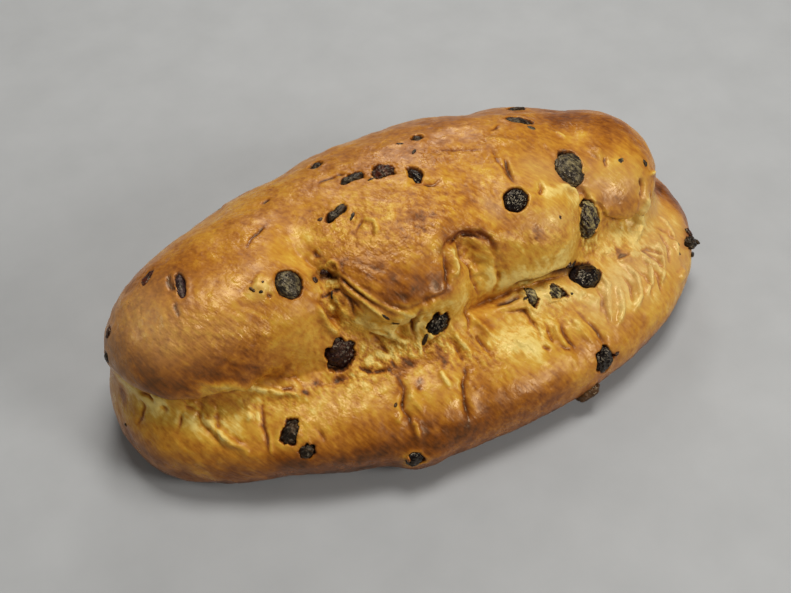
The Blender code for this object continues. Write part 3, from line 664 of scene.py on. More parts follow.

# How the crust is tinted, broad stretches first: mostly its baked colour, with painted shade and painted light where
# noted.
TINTS = (
    Tint(((-90, 58, 60), (-40, 70, 60), (20, 72, 60), (70, 58, 62), (100, 34, 66)), 16, 0.72, 0.7),
    Tint(((-100, 54, 38), (-60, 70, 35), (0, 78, 33), (56, 70, 35), (100, 42, 38)), 9, 0.15, 0.8),
    Tint(((-126, 36, 20), (-70, 66, 16), (0, 78, 15), (70, 66, 16), (126, 28, 18)), 9, 0.8, 0.7),
    Tint(((128, 14, 30), (134, -4, 22)), 8, 0.5, 0.7),
    # Browner under the left bulge, with painted shade under its overhang.
    Tint(((-126, -20, 66), (-112, -27, 66), (-95, -30, 64)), 9, 0.7, 0.7),
    Tint(((-144, 2, 56), (-140, -8, 60), (-132, -19, 60)), 9, 0.85, 0.85),
    Tint(((-128, -25, 58), (-112, -31, 60), (-97, -32, 59)), 10, 0.92, 0.92),
    Tint(((-92, -33, 50), (-80, -34, 50)), 5, 0.65, 0.7),
    # Browner under the middle bulge, with painted shade where it hangs over.
    Tint(((-42, -18, 82), (-35, -24, 80), (-27, -29, 78), (-18, -34, 76), (-9, -36, 74)), 8, 0.84, 0.9),
    Tint(((-32, -32, 75), (-25, -35, 74), (-17, -37, 73), (-10, -37, 73)), 4, 0.86, 0.85),
    Tint(((-47, -28, 67), (-40, -32, 67), (-35, -35, 62)), 4, 0.3, 0.8),
    Tint(((-56, -36, 50), (-45, -38, 50), (-30, -43, 50), (-14, -44, 54), (-2, -43, 55)), 9, 0.2, 0.8),
    Tint(((-28, -38, 62), (-20, -41, 62), (-10, -41, 64), (0, -40, 60)), 5, 0.05, 0.9),
    Tint(((-45, -32, 54), (-39, -36, 49), (-33, -41, 47)), 4, 0.4, 0.8),
    Tint(((-47, -27, 72), (-46, -29, 65), (-50, -30, 58)), 4, 0.6, 0.7),
    Tint(((-53, -14, 79), (-53, -24, 70), (-52, -30, 60)), 5, 0.3, 0.75),
    Tint(((-53, -17, 76), (-51, -19, 75)), 2.5, 0.05, 0.9),
    Tint(((-98, -38, 45), (-80, -42, 44), (-60, -46, 43), (-38, -53, 42), (-14, -54, 43)), 10, 0.27, 0.8),
    Tint(((-82, -42, 40), (-76, -48, 39), (-74, -55, 37), (-77, -59, 34)), 6, 0.2, 0.6),
    Tint(((-140, -15, 44), (-130, -24, 42), (-120, -34, 40), (-110, -42, 39)), 6.5, 0.08, 0.9),
    Tint(((-113, -31, 57), (-103, -32, 55), (-93, -31, 47), (-86, -36, 43)), 3.5, 0.2, 0.8),
    # The next four: darker towards the foot, browner baking together with painted shade against the floor's bounced
    # light.
    Tint(((-146, -16, 22), (-138, -32, 22), (-128, -42, 20), (-115, -50, 20), (-96, -60, 20)), 8, 0.8, 0.8),
    Tint(((-133, -40, 24), (-124, -46, 20)), 5, 0.5, 0.6),
    Tint(((-90, -60, 24), (-78, -66, 24), (-60, -70, 25), (-42, -74, 26), (-20, -76, 26)), 10, 0.95, 0.95),
    Tint(((-30, -73, 27), (-14, -77, 25), (0, -78, 25), (16, -78, 24), (28, -77, 22)), 9.5, 0.88, 0.88),
    Tint(((36, -76, 20), (54, -72, 16)), 7, 0.62, 0.7),
    Tint(((44, -66, 34), (60, -66, 30), (78, -62, 28)), 7, 0.62, 0.65),
    Tint(((30, 26, 88), (44, 22, 88)), 9, 0.6, 0.5),
    Tint(((-30, -40, 58), (-22, -42, 58)), 4, 0.0, 0.9),
    # A painted highlight on the crown left of the middle.
    Tint(((-60, 6, 86), (-58, -6, 84)), 6, 0.2, 0.6),
    Tint(((-38, -60, 39), (-30, -64, 37)), 5, 0.15, 0.5),
    Tint(((-24, -69, 35), (-20, -72, 33)), 5, 0.45, 0.5),
    Tint(((-66, -63, 34), (-50, -67, 34), (-36, -70, 33)), 6, 0.7, 0.7),
    Tint(((-7, -59, 40), (-7, -66, 37), (-2, -68, 35), (1, -72, 33)), 3, 0.75, 0.6),
    Tint(((-22, 46, 83), (10, 44, 84), (40, 42, 84), (64, 42, 80), (82, 36, 77)), 14, 0.72, 0.6),
    Tint(((90, 26, 78), (100, 20, 78), (108, 12, 77)), 10, 0.85, 0.8),
    Tint(((-82, -13, 83), (-79, -12, 83)), 4, 0.12, 0.9),
    Tint(((132, 14, 42), (142, -2, 32), (139, -18, 28)), 11, 0.95, 0.9),
    # Paler where the left end's fold faces down and left: pale dough with painted light.
    Tint(((-146, -6, 48), (-141, -14, 46), (-134, -19, 44)), 5, -0.1, 0.9),
    Tint(((-44, -31, 62), (-38, -35, 59), (-31, -39, 56)), 5, 0.0, 0.9),
    Tint(((80, -40, 40), (81, -46, 39), (77, -53, 37)), 6, -0.3, 0.9),
    Tint(((38, -41, 50), (50, -43, 46), (60, -46, 42)), 4, -0.2, 0.9),
    Tint(((94, 4, 80), (106, 0, 78), (112, -6, 74)), 9, 0.82, 0.75),
    Tint(((116, -13, 52), (121, -15, 43)), 4, 0.6, 0.7),
    Tint(((107, -18, 61), (107, -20, 54), (105, -20, 50), (104, -22, 43), (98, -28, 41)), 4, -0.35, 1.0),
    Tint(((-140, 0, 62), (-133, 10, 68), (-122, 20, 74), (-112, 8, 84)), 17, 0.74, 0.75),
    Tint(((16, -52, 43), (30, -50, 44), (50, -52, 42), (70, -50, 40)), 9, 0.12, 0.8),
    # A painted highlight on the lip.
    Tint(((18, -54, 42), (25, -60, 40)), 6, -0.25, 0.8),
    # Paler right lip: pale stretched dough with a painted sheen.
    Tint(((70, -46, 40), (92, -42, 38), (108, -36, 37), (118, -26, 37)), 13, 0.1, 0.85),
    Tint(((120, -8, 38), (126, -18, 34), (122, -36, 30)), 12, 0.2, 0.75),
    # Paler on the right bulge's front: its baked colour with a painted soft highlight.
    Tint(((92, -8, 76), (106, -6, 72)), 10, 0.25, 0.7),
    Tint(((86, -28, 46), (104, -24, 48)), 7, 0.05, 0.85),
    Tint(((22, -36, 58), (40, -38, 58), (60, -34, 60)), 9, 0.0, 0.85),
    Tint(((84, -17, 66), (98, -20, 60), (108, -17, 60)), 5, 0.7, 0.75),
    Tint(((3, -22, 79), (0, -28, 76), (-3, -36, 73)), 3, 0.35, 0.7),
    Tint(((-4, -25, 81), (1, -21, 82), (10, -20, 82), (16, -22, 81), (20, -26, 77), (22, -31, 69)), 2.4, 0.66, 0.8),
    Tint(((24, -24, 78), (24, -29, 73), (24, -33, 66)), 3, 0.7, 0.7),
    Tint(((30, -28, 75), (44, -31, 72), (58, -28, 70)), 8, 0.3, 0.6),
    Tint(((53, -13, 85), (53, -18, 83), (62, -16, 80), (67, -19, 74)), 3.5, 0.05, 0.9),
    Tint(((82, 12, 80), (88, 12, 80)), 3.5, 0.2, 0.7),
    Tint(((-37, -45, 44), (-34, -48, 43), (-30, -47, 44)), 3, 0.9, 0.9),
    Tint(((-35, -48, 44), (-37, -52, 42), (-39, -56, 40)), 1.6, 0.85, 0.8),
    Tint(((-28, -55, 41), (-30, -58, 40)), 1.5, 1.0, 0.9),
    Tint(((-18, -47, 46), (-16, -50, 43), (-15, -53, 42)), 3, 0.75, 0.8),
    Tint(((87, -32, 42), (90, -35, 40)), 2.5, 0.8, 0.8),
    Tint(((-69, -39, 44), (-68, -40, 44)), 1.3, 0.95, 0.9),
    Tint(((-60, -40, 43), (-58, -40, 43)), 1.5, 0.95, 0.9),
    Tint(((-75, -40, 42), (-74, -41, 42)), 1.1, 0.95, 0.9),
    Tint(((-82, -36, 44), (-80, -37, 44)), 1.4, 0.9, 0.9),
    Tint(((-143, -3, 39), (-144, -6, 36)), 2.4, 0.85, 0.8),
    Tint(((-53, 8, 85), (-50, 4, 84)), 4, 0.1, 0.7),
    Tint(((-7, -22, 84), (-3, -24, 81)), 4, 0.15, 0.7),
    Tint(((-8, -8, 88), (0, -16, 87), (3, -18, 84)), 5, 0.7, 0.7),
    Tint(((26, -22, 82), (36, -29, 75), (42, -31, 72)), 7, 0.55, 0.5),
    Tint(((52, -24, 78), (60, -26, 72), (64, -26, 66)), 7, 0.3, 0.6),
    Tint(((-22, -14, 84), (-10, -18, 85)), 8, 0.6, 0.6),
    Tint(((41, -28, 76), (42, -31, 74)), 2, 0.85, 0.7),
    Tint(((-4, -25, 81), (1, -21, 82), (10, -20, 82), (17, -23, 80), (21, -28, 75)), 2.0, 0.7, 0.9, "flush"),
    Tint(((107, -18, 61), (106, -20, 52)), 3, 0.3, 0.9, "pallor_and_sheen"),
    Tint(((-62, -21, 73), (-59, -24, 69), (-56, -28, 60)), 2, 0.2, 0.7, "flush"),
    Tint(((-55, -13, 79), (-51, -16, 78), (-48, -18, 79)), 2, 0.6, 0.8, "flush"),
    Tint(((60, -72, 28), (64, -72, 23)), 3, 0.5, 0.8, "flush"),
    Tint(((-146, -14, 27), (-145, -19, 27)), 2.5, 0.4, 0.7, "flush"),
    Tint(((134, -26, 30), (136, -29, 25)), 3, 0.5, 0.8, "flush"),
    Tint(((3, -22, 79), (0, -28, 76), (-3, -36, 73)), 3, 0.2, 0.7, "flush"),
    Tint(((-23, -39, 60), (-23, -42, 52)), 1.5, 0.4, 0.7, "flush"),
    Tint(((-20, -39, 67), (-23, -39, 64), (-24, -38, 58)), 1.3, 0.6, 0.8, "flush"),
    # The pale beige stretches below: paler dough skin, with a painted sheen on the left bulge, the right bulge and the
    # right lip.
    Tint(((-82, -13, 83), (-79, -12, 83)), 4, 0.3, 0.8, "pallor_and_sheen"),
    Tint(((-140, 0, 60), (-134, 6, 68), (-124, 0, 76), (-122, -12, 72)), 16, 0.4, 0.8, "pallor_and_sheen"),
    Tint(((-127, 8, 78), (-125, -5, 78), (-122, -15, 76)), 6, 0.35, 0.7, "pallor_and_sheen"),
    Tint(((-106, -18, 77), (-98, -22, 76)), 7, 0.25, 0.7, "pallor_and_sheen"),
    Tint(((-127, 8, 78), (-125, -5, 78), (-122, -15, 76)), 6, 0.7, 0.8, "blistered"),
    Tint(((-110, -16, 78), (-100, -22, 76), (-90, -24, 74)), 9, 0.7, 0.8, "blistered"),
    Tint(((-40, 2, 87), (-24, -6, 87), (-10, -12, 86), (-28, -16, 84)), 14, 0.6, 0.8, "blistered"),
    Tint(((16, 20, 88), (40, 18, 88), (66, 12, 84)), 9, 0.5, 0.8, "blistered"),
    Tint(((66, -50, 39), (80, -46, 40), (90, -41, 39), (100, -38, 37), (112, -32, 36)), 13, 0.55, 0.85, "pallor_and_sheen"),
    Tint(((122, -16, 38), (128, -24, 32), (118, -42, 29)), 10, 0.4, 0.8, "pallor_and_sheen"),
    Tint(((56, -2, 86), (70, -8, 80), (84, -12, 72), (98, -14, 68)), 10, 0.35, 0.8, "pallor_and_sheen"),
    Tint(((30, -40, 49), (42, -43, 46), (55, -43, 45), (64, -44, 41)), 6.5, 0.2, 0.9, "pallor_and_sheen"),
    Tint(((27, -17, 85), (25, -12, 86)), 4, 0.5, 0.8, "pallor_and_sheen"),
    Tint(((40, -26, 78), (54, -27, 75)), 6, 0.3, 0.8, "pallor_and_sheen"),
    Tint(((-60, 72, 36), (0, 78, 34), (56, 70, 36)), 8, 0.35, 0.8, "torn"),
    # Near black painted shade: in the hole left of the middle, and down the deep fold under the right middle bulge.
    Tint(((-54, -13, 79), (-51, -16, 78), (-49, -17, 79)), 1.7, 0.8, 0.9, "crevice_shade"),
    Tint(((20, -38, 50), (30, -38, 52), (44, -39, 52), (58, -37, 49), (66, -33, 46)), 1.4, 0.9, 0.9, "crevice_shade"),
    Tint(((-98, -38, 45), (-80, -42, 44), (-60, -42, 44), (-45, -40, 48)), 7, 0.45, 0.9, "torn"),
    Tint(((-45, -42, 46), (-30, -44, 49), (-12, -48, 46)), 9, 0.9, 0.9, "torn"),
    Tint(((-34, -2, 88), (-10, -8, 88), (16, -6, 87), (30, -12, 84)), 16, 0.3, 0.9, "torn"),
    Tint(((4, -26, 77), (22, -26, 77), (44, -30, 72), (56, -30, 68)), 10, 0.3, 0.8, "torn"),
    Tint(((-52, -16, 78), (-52, -24, 70), (-51, -30, 60)), 6, 0.8, 0.8, "torn"),
    Tint(((-3, -54, 42), (14, -54, 43), (30, -52, 43), (50, -52, 42)), 9, 0.45, 0.8, "torn"),
    Tint(((76, -28, 48), (92, -30, 42), (106, -28, 42)), 9, 0.45, 0.9, "torn"),
    Tint(((-126, -26, 44), (-112, -36, 41)), 8, 0.4, 0.8, "torn"),
    Tint(((70, -22, 60), (72, -28, 54)), 5, 1.0, 0.9, "torn"),
)


class Nodes:
    """A node tree, with short ways to add the nodes that this loaf uses."""

    def __init__(self, tree: bpy.types.NodeTree) -> None:
        """Take hold of a node tree.

        Args:
            tree: A material's tree or a group's.
        """
        self.tree = tree

    def node(self, kind: str) -> bpy.types.Node:
        """Add a node of a kind."""
        return self.tree.nodes.new(kind)

    def feed(self, source: object, socket: bpy.types.NodeSocket) -> None:
        """Give a socket its value, from another socket or as a constant."""
        if isinstance(source, bpy.types.NodeSocket):
            self.tree.links.new(source, socket)
        else:
            socket.default_value = source

    def attribute(self, name: str) -> bpy.types.NodeSocket:
        """Read one of the crust's layers."""
        reader = self.node("ShaderNodeAttribute")
        reader.attribute_name = name
        return reader.outputs["Fac"]

    def noise(
        self, place: bpy.types.NodeSocket, scale: object, detail: float, roughness: float = 0.55
    ) -> bpy.types.NodeSocket:
        """Add soft noise.

        Args:
            place: Where it is read.
            scale: How many swells it has in a metre, a number or a socket.
            detail: How many finer layers it has.
            roughness: How strong those are.

        Returns:
            The noise's value.
        """
        cloud = self.node("ShaderNodeTexNoise")
        self.feed(scale, cloud.inputs["Scale"])
        cloud.inputs["Detail"].default_value = detail
        cloud.inputs["Roughness"].default_value = roughness
        self.feed(place, cloud.inputs["Vector"])
        return cloud.outputs["Fac"]

    def maths(self, operation: str, *values: object) -> bpy.types.NodeSocket:
        """Work out a value from others.

        Args:
            operation: What is done.
            *values: Sockets or numbers.

        Returns:
            The result.
        """
        maths = self.node("ShaderNodeMath")
        maths.operation = operation
        for value, socket in zip(values, maths.inputs):
            self.feed(value, socket)
        return maths.outputs[0]

    def ramp(self, value: bpy.types.NodeSocket, stops: tuple) -> bpy.types.NodeSocket:
        """Turn a value into a colour.

        Args:
            value: The value.
            stops: Pairs of a value and its colour as a screen shows it.

        Returns:
            The colour.
        """
        band = self.node("ShaderNodeValToRGB")
        elements = band.color_ramp.elements
        while len(elements) < len(stops):
            elements.new(0.5)
        for element, (position, colour) in zip(elements, stops):
            element.position = position
            element.color = from_screen(*colour)
        self.feed(value, band.inputs[0])
        return band.outputs["Color"]

    def mix(self, share: bpy.types.NodeSocket, base: object, over: object) -> bpy.types.NodeSocket:
        """Mix a colour over another by a share.

        Args:
            share: How much of it shows.
            base: The colour beneath, a socket or a plain colour.
            over: The colour above.

        Returns:
            The mixed colour.
        """
        mixer = self.node("ShaderNodeMix")
        mixer.data_type = "RGBA"
        for source, socket in ((share, "Factor"), (base, 6), (over, 7)):
            self.feed(source, mixer.inputs[socket])
        return mixer.outputs[2]

    def drawn_out(self, place: object, along: object, share: float) -> bpy.types.NodeSocket:
        """Draw a texture out along one direction.

        Args:
            place: Where it is read.
            along: The direction, of length 1.
            share: How much of the run along it is taken out, 0 to 1.

        Returns:
            The place to read it at.
        """
        run = self.node("ShaderNodeVectorMath")
        run.operation = "DOT_PRODUCT"
        self.feed(place, run.inputs[0])
        self.feed(along, run.inputs[1])
        part = self.node("ShaderNodeVectorMath")
        part.operation = "SCALE"
        self.feed(along, part.inputs[0])
        self.feed(self.maths("MULTIPLY", run.outputs["Value"], share), part.inputs["Scale"])
        rest = self.node("ShaderNodeVectorMath")
        rest.operation = "SUBTRACT"
        self.feed(place, rest.inputs[0])
        self.feed(part.outputs["Vector"], rest.inputs[1])
        return rest.outputs["Vector"]

    def bump(self, height: bpy.types.NodeSocket, strength: object, distance: float) -> bpy.types.NodeSocket:
        """Turn a height into a normal."""
        relief = self.node("ShaderNodeBump")
        self.feed(strength, relief.inputs["Strength"])
        relief.inputs["Distance"].default_value = distance
        self.feed(height, relief.inputs["Height"])
        return relief.outputs["Normal"]


def glaze_group() -> bpy.types.ShaderNodeTree:
    """Build the uneven glaze that the crust and the fruit share, once.

    Returns:
        The group, which gives a relief, a roughness and a mottle from a place, the way that the skin's
        grain runs, and their sizes.
    """
    found = bpy.data.node_groups.get("baked_glaze")
    if found:
        return found
    group = bpy.data.node_groups.new("baked_glaze", "ShaderNodeTree")
    sockets = group.interface
    for name in ("Place", "Grain"):
        sockets.new_socket(name, in_out="INPUT", socket_type="NodeSocketVector")
    for name in ("Swell Scale", "Pore Scale", "Pore Share", "Gloss", "Gloss Spread"):
        sockets.new_socket(name, in_out="INPUT", socket_type="NodeSocketFloat")
    for name in ("Height", "Roughness", "Mottle"):
        sockets.new_socket(name, in_out="OUTPUT", socket_type="NodeSocketFloat")
    tree = Nodes(group)
    given = tree.node("NodeGroupInput").outputs
    result = tree.node("NodeGroupOutput").inputs
    swells = tree.noise(given["Place"], given["Swell Scale"], 2, 0.5)
    pores = tree.noise(given["Place"], given["Pore Scale"], 1, 0.5)
    fibres = tree.noise(tree.drawn_out(given["Place"], given["Grain"], 0.85), given["Pore Scale"], 2, 0.6)
    uneven = tree.maths("ADD", tree.maths("MULTIPLY", pores, 0.5), fibres)
    tree.feed(tree.maths("MULTIPLY_ADD", uneven, given["Pore Share"], swells), result["Height"])
    patches = tree.noise(given["Place"], tree.maths("MULTIPLY", given["Swell Scale"], 0.6), 5)
    spread = tree.maths("MULTIPLY", tree.maths("SUBTRACT", patches, 0.5), given["Gloss Spread"])
    tree.feed(tree.maths("ADD", spread, given["Gloss"]), result["Roughness"])
    mottle = tree.maths("ADD", tree.maths("SUBTRACT", fibres, 0.5), tree.maths("SUBTRACT", patches, 0.5))
    tree.feed(mottle, result["Mottle"])
    return group


@dataclass(frozen=True)
class Finish:
    """What every finish of the loaf shares: a name and how its glaze lies."""

    name: str
    gloss: float = 0.35
    gloss_spread: float = 0.7
    swell_scale: float = 260.0
    pore_scale: float = 750.0
    pore_share: float = 0.4
    grain: tuple = (0.5, -0.66, -0.56)
    sheen: tuple = (255, 232, 190)

    def start(self) -> tuple:
        """Start the material.

        Returns:
            The material, its nodes, its shader and the glaze's outputs.
        """
        material = bpy.data.materials.new(self.name)
        material.use_nodes = True
        tree = Nodes(material.node_tree)
        shader = material.node_tree.nodes["Principled BSDF"]
        glaze = tree.node("ShaderNodeGroup")
        glaze.node_tree = glaze_group()
        tree.feed(tree.node("ShaderNodeTexCoord").outputs["Object"], glaze.inputs["Place"])
        sizes = (self.swell_scale, self.pore_scale, self.pore_share, self.gloss, self.gloss_spread)
        for value, name in zip(sizes, ("Swell Scale", "Pore Scale", "Pore Share", "Gloss", "Gloss Spread")):
            tree.feed(value, glaze.inputs[name])
        tree.feed(self.grain, glaze.inputs["Grain"])
        tree.feed(glaze.outputs["Roughness"], shader.inputs["Roughness"])
        shader.inputs["Specular Tint"].default_value = from_screen(*self.sheen)
        return material, tree, shader, glaze.outputs


@dataclass(frozen=True)
class CrustFinish(Finish):
    """The glazed, baked crust, whose tone runs from pale stretched dough to dark brown."""

    name: str = "crust"
    pale: tuple = (240, 208, 116)
    yellow: tuple = (214, 163, 58)
    golden: tuple = (196, 133, 42)
    amber: tuple = (172, 105, 31)
    brown: tuple = (132, 71, 20)
    dark: tuple = (80, 40, 12)
    flush: tuple = (112, 34, 18)
    # Pale beige: paler dough skin together with a painted sheen.
    pallor_and_sheen: tuple = (204, 162, 112)
    # Near black: painted shade down in crevices and round the raisins.
    crevice_shade: tuple = (30, 18, 14)

    def material(self) -> bpy.types.Material:
        """Build the material.

        Returns:
            The material.
        """
        material, tree, shader, glaze = self.start()
        place = tree.node("ShaderNodeTexCoord").outputs["Object"]
        torn = tree.attribute("torn")
        blotch = tree.maths("SUBTRACT", tree.noise(place, 55, 4), 0.5)
        shifted = tree.maths("MULTIPLY_ADD", blotch, 0.45, tree.attribute("tone"))
        share = tree.maths("MULTIPLY_ADD", torn, 0.7, 0.45)
        shifted = tree.maths("MULTIPLY_ADD", glaze["Mottle"], share, shifted)
        stops = (
            (0.0, self.pale),
            (0.22, self.yellow),
            (0.42, self.golden),
            (0.58, self.amber),
            (0.78, self.brown),
            (1.0, self.dark),
        )
        colour = tree.ramp(shifted, stops)
        # Pale beige over the baked colour: paler dough skin with a painted sheen.
        colour = tree.mix(tree.attribute("pallor_and_sheen"), colour, from_screen(*self.pallor_and_sheen))
        colour = tree.mix(tree.attribute("flush"), colour, from_screen(*self.flush))
        # Near black over it: painted shade in crevices and round the raisins.
        colour = tree.mix(tree.attribute("crevice_shade"), colour, from_screen(*self.crevice_shade))
        tree.feed(colour, shader.inputs["Base Color"])
        tree.feed(tree.maths("MULTIPLY_ADD", torn, 0.15, glaze["Roughness"]), shader.inputs["Roughness"])
        grain = tree.maths("MULTIPLY", tree.noise(place, 900, 1), tree.maths("MULTIPLY", torn, 0.8))
        height = tree.maths("ADD", glaze["Height"], grain)
        strength = tree.maths("MULTIPLY_ADD", tree.noise(place, 40, 3), 2.6, -0.85)
        worked = tree.maths("ADD", torn, tree.attribute("blistered"))
        strength = tree.maths("MAXIMUM", tree.maths("MINIMUM", tree.maths("ADD", strength, worked), 1.0), 0.32)
        tree.feed(tree.bump(height, strength, 0.0008), shader.inputs["Normal"])
        return material


@dataclass(frozen=True)
class FruitFinish(Finish):
    """A raisin's wrinkled skin, with lighter patches of dried syrup."""

    skin: tuple = (24, 15, 12)
    light: tuple = (70, 50, 34)
    light_share: float = 0.6
    swell_scale: float = 480.0
    pore_scale: float = 1100.0

    def material(self) -> bpy.types.Material:
        """Build the material.

        Returns:
            The material.
        """
        material, tree, shader, glaze = self.start()
        patch = tree.maths("MULTIPLY_ADD", glaze["Mottle"], 3.0, 0.1)
        share = tree.maths("MULTIPLY", tree.maths("MINIMUM", tree.maths("MAXIMUM", patch, 0), 1), self.light_share)
        colour = tree.mix(share, from_screen(*self.skin), from_screen(*self.light))
        tree.feed(colour, shader.inputs["Base Color"])
        tree.feed(tree.bump(glaze["Height"], 1.0, 0.0006), shader.inputs["Normal"])
        return material


FRUIT = {
    RaisinKind.PLUMP: FruitFinish("raisin_plump", 0.4, 0.3, skin=(34, 20, 24), light=(90, 62, 66)),
    RaisinKind.GLAZED: FruitFinish("raisin_glazed", 0.36, 0.5, skin=(40, 34, 30), light=(150, 134, 92), light_share=0.9),
    RaisinKind.GLOSSY: FruitFinish("raisin_glossy", 0.14, 0.2, skin=(15, 10, 12), light=(60, 54, 56), light_share=0.4),
    RaisinKind.CHARRED: FruitFinish("raisin_charred", 0.4, 0.5, skin=(22, 14, 12), light=(84, 56, 30), light_share=0.6),
    RaisinKind.RED: FruitFinish("raisin_red", 0.34, 0.4, skin=(38, 15, 11), light=(120, 50, 28), light_share=0.7),
    RaisinKind.VEILED: FruitFinish("raisin_veiled", 0.34, 0.5, skin=(30, 18, 20), light=(196, 176, 112), light_share=0.9),
    RaisinKind.WINE: FruitFinish("raisin_wine", 0.3, 0.4, skin=(30, 10, 14), light=(84, 40, 30), light_share=0.6),
    RaisinKind.BROWN: FruitFinish("raisin_brown", 0.34, 0.4, skin=(66, 38, 16), light=(120, 78, 34), light_share=0.7),
}


def deselect() -> None:
    """Leave edit mode and deselect every object."""
    if bpy.context.object and bpy.context.object.mode != "OBJECT":
        bpy.ops.object.mode_set(mode="OBJECT")
    bpy.ops.object.select_all(action="DESELECT")


def activate(piece: bpy.types.Object) -> None:
    """Select one object alone and make it the active one."""
    deselect()
    piece.select_set(True)
    bpy.context.view_layer.objects.active = piece


def copy_of(node: bpy.types.Object, name: str) -> bpy.types.Object:
    """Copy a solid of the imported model, with its loose triangles merged.

    Args:
        node: The solid.
        name: The copy's name.

    Returns:
        The copy.
    """
    twin = bpy.data.objects.new(name, node.data.copy())
    bpy.context.scene.collection.objects.link(twin)
    activate(twin)
    bpy.ops.object.mode_set(mode="EDIT")
    bpy.ops.mesh.select_all(action="SELECT")
    bpy.ops.mesh.remove_doubles(threshold=1e-5)
    bpy.ops.object.mode_set(mode="OBJECT")
    return twin


@dataclass
class Seat:
    """Where a raisin lies: its centre, its axes with the last one out of the crust, and its half sizes."""

    name: str
    centre: np.ndarray
    axes: np.ndarray
    half: np.ndarray
    look: RaisinLook
    seed: int

    @classmethod
    def of(cls, name: str, seed: int, tree: BVHTree) -> "Seat":
        """Find a raisin's seat from its solid.

        Args:
            name: The solid's name.
            seed: Its number.
            tree: The dough's surface.

        Returns:
            The seat.
        """
        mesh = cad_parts[name].data
        points = np.array([vert.co[:] for vert in mesh.vertices]) / MM - LOAF_ORIGIN
        points = np.unique(points.round(3), axis=0)
        centre = (points.min(axis=0) + points.max(axis=0)) / 2
        spread = np.linalg.eigh(np.cov((points - centre).T))[1]
        out = np.array(tree.find_nearest(Vector(centre))[1])
        upright = spread[:, np.argmax(np.abs(spread.T @ out))]
        upright = upright * np.sign(upright @ out)
        flat = spread[:, 2] - (spread[:, 2] @ upright) * upright
        if np.linalg.norm(flat) < 0.3:
            flat = spread[:, 1]
        flat = flat / np.linalg.norm(flat)
        axes = np.stack([flat, np.cross(upright, flat), upright])
        half = np.ptp((points - centre) @ axes.T, axis=0) / 2
        look = LOOKS.get(name, RaisinLook())
        return cls(name, centre + np.array(look.shift), axes, half, look, seed)

    def local(self, points: np.ndarray) -> np.ndarray:
        """Places in the seat's own axes."""
        return (points - self.centre) @ self.axes.T

    def outline(self, spots: np.ndarray) -> np.ndarray:
        """How far the raisin's edge lies out, against its plain oval, in the direction of each spot.

        Args:
            spots: Places in the seat's own axes.

        Returns:
            The share, about 1.
        """
        around = np.arctan2(spots[:, 1], spots[:, 0])
        ring = np.stack([np.cos(around), np.sin(around), np.full(len(around), 0.37 * self.seed)], axis=1)
        uneven = 0.8 * noise_at(ring, 0.6, self.seed) + 0.22 * noise_at(ring, 0.25, 50 + self.seed)
        return 1 + self.look.ragged * (uneven - 0.15)

    def hidden(self, spots: np.ndarray) -> np.ndarray:
        """How far a thin skin of dough lies over the raisin at each spot, 0 to 1.

        Args:
            spots: Places in the seat's own axes.

        Returns:
            The share.
        """
        side, share = self.look.cover
        if share == 0:
            return np.zeros(len(spots))
        lean = self.axes[:2] @ np.array(side, float)
        lean /= np.linalg.norm(lean) + 1e-9
        along = (spots[:, :2] / self.half[:2]) @ lean + 0.35 * noise_at(spots, 2.5, self.seed)
        return smooth_step(1 - 2 * share - 0.1, 1 - 2 * share + 0.1, along)


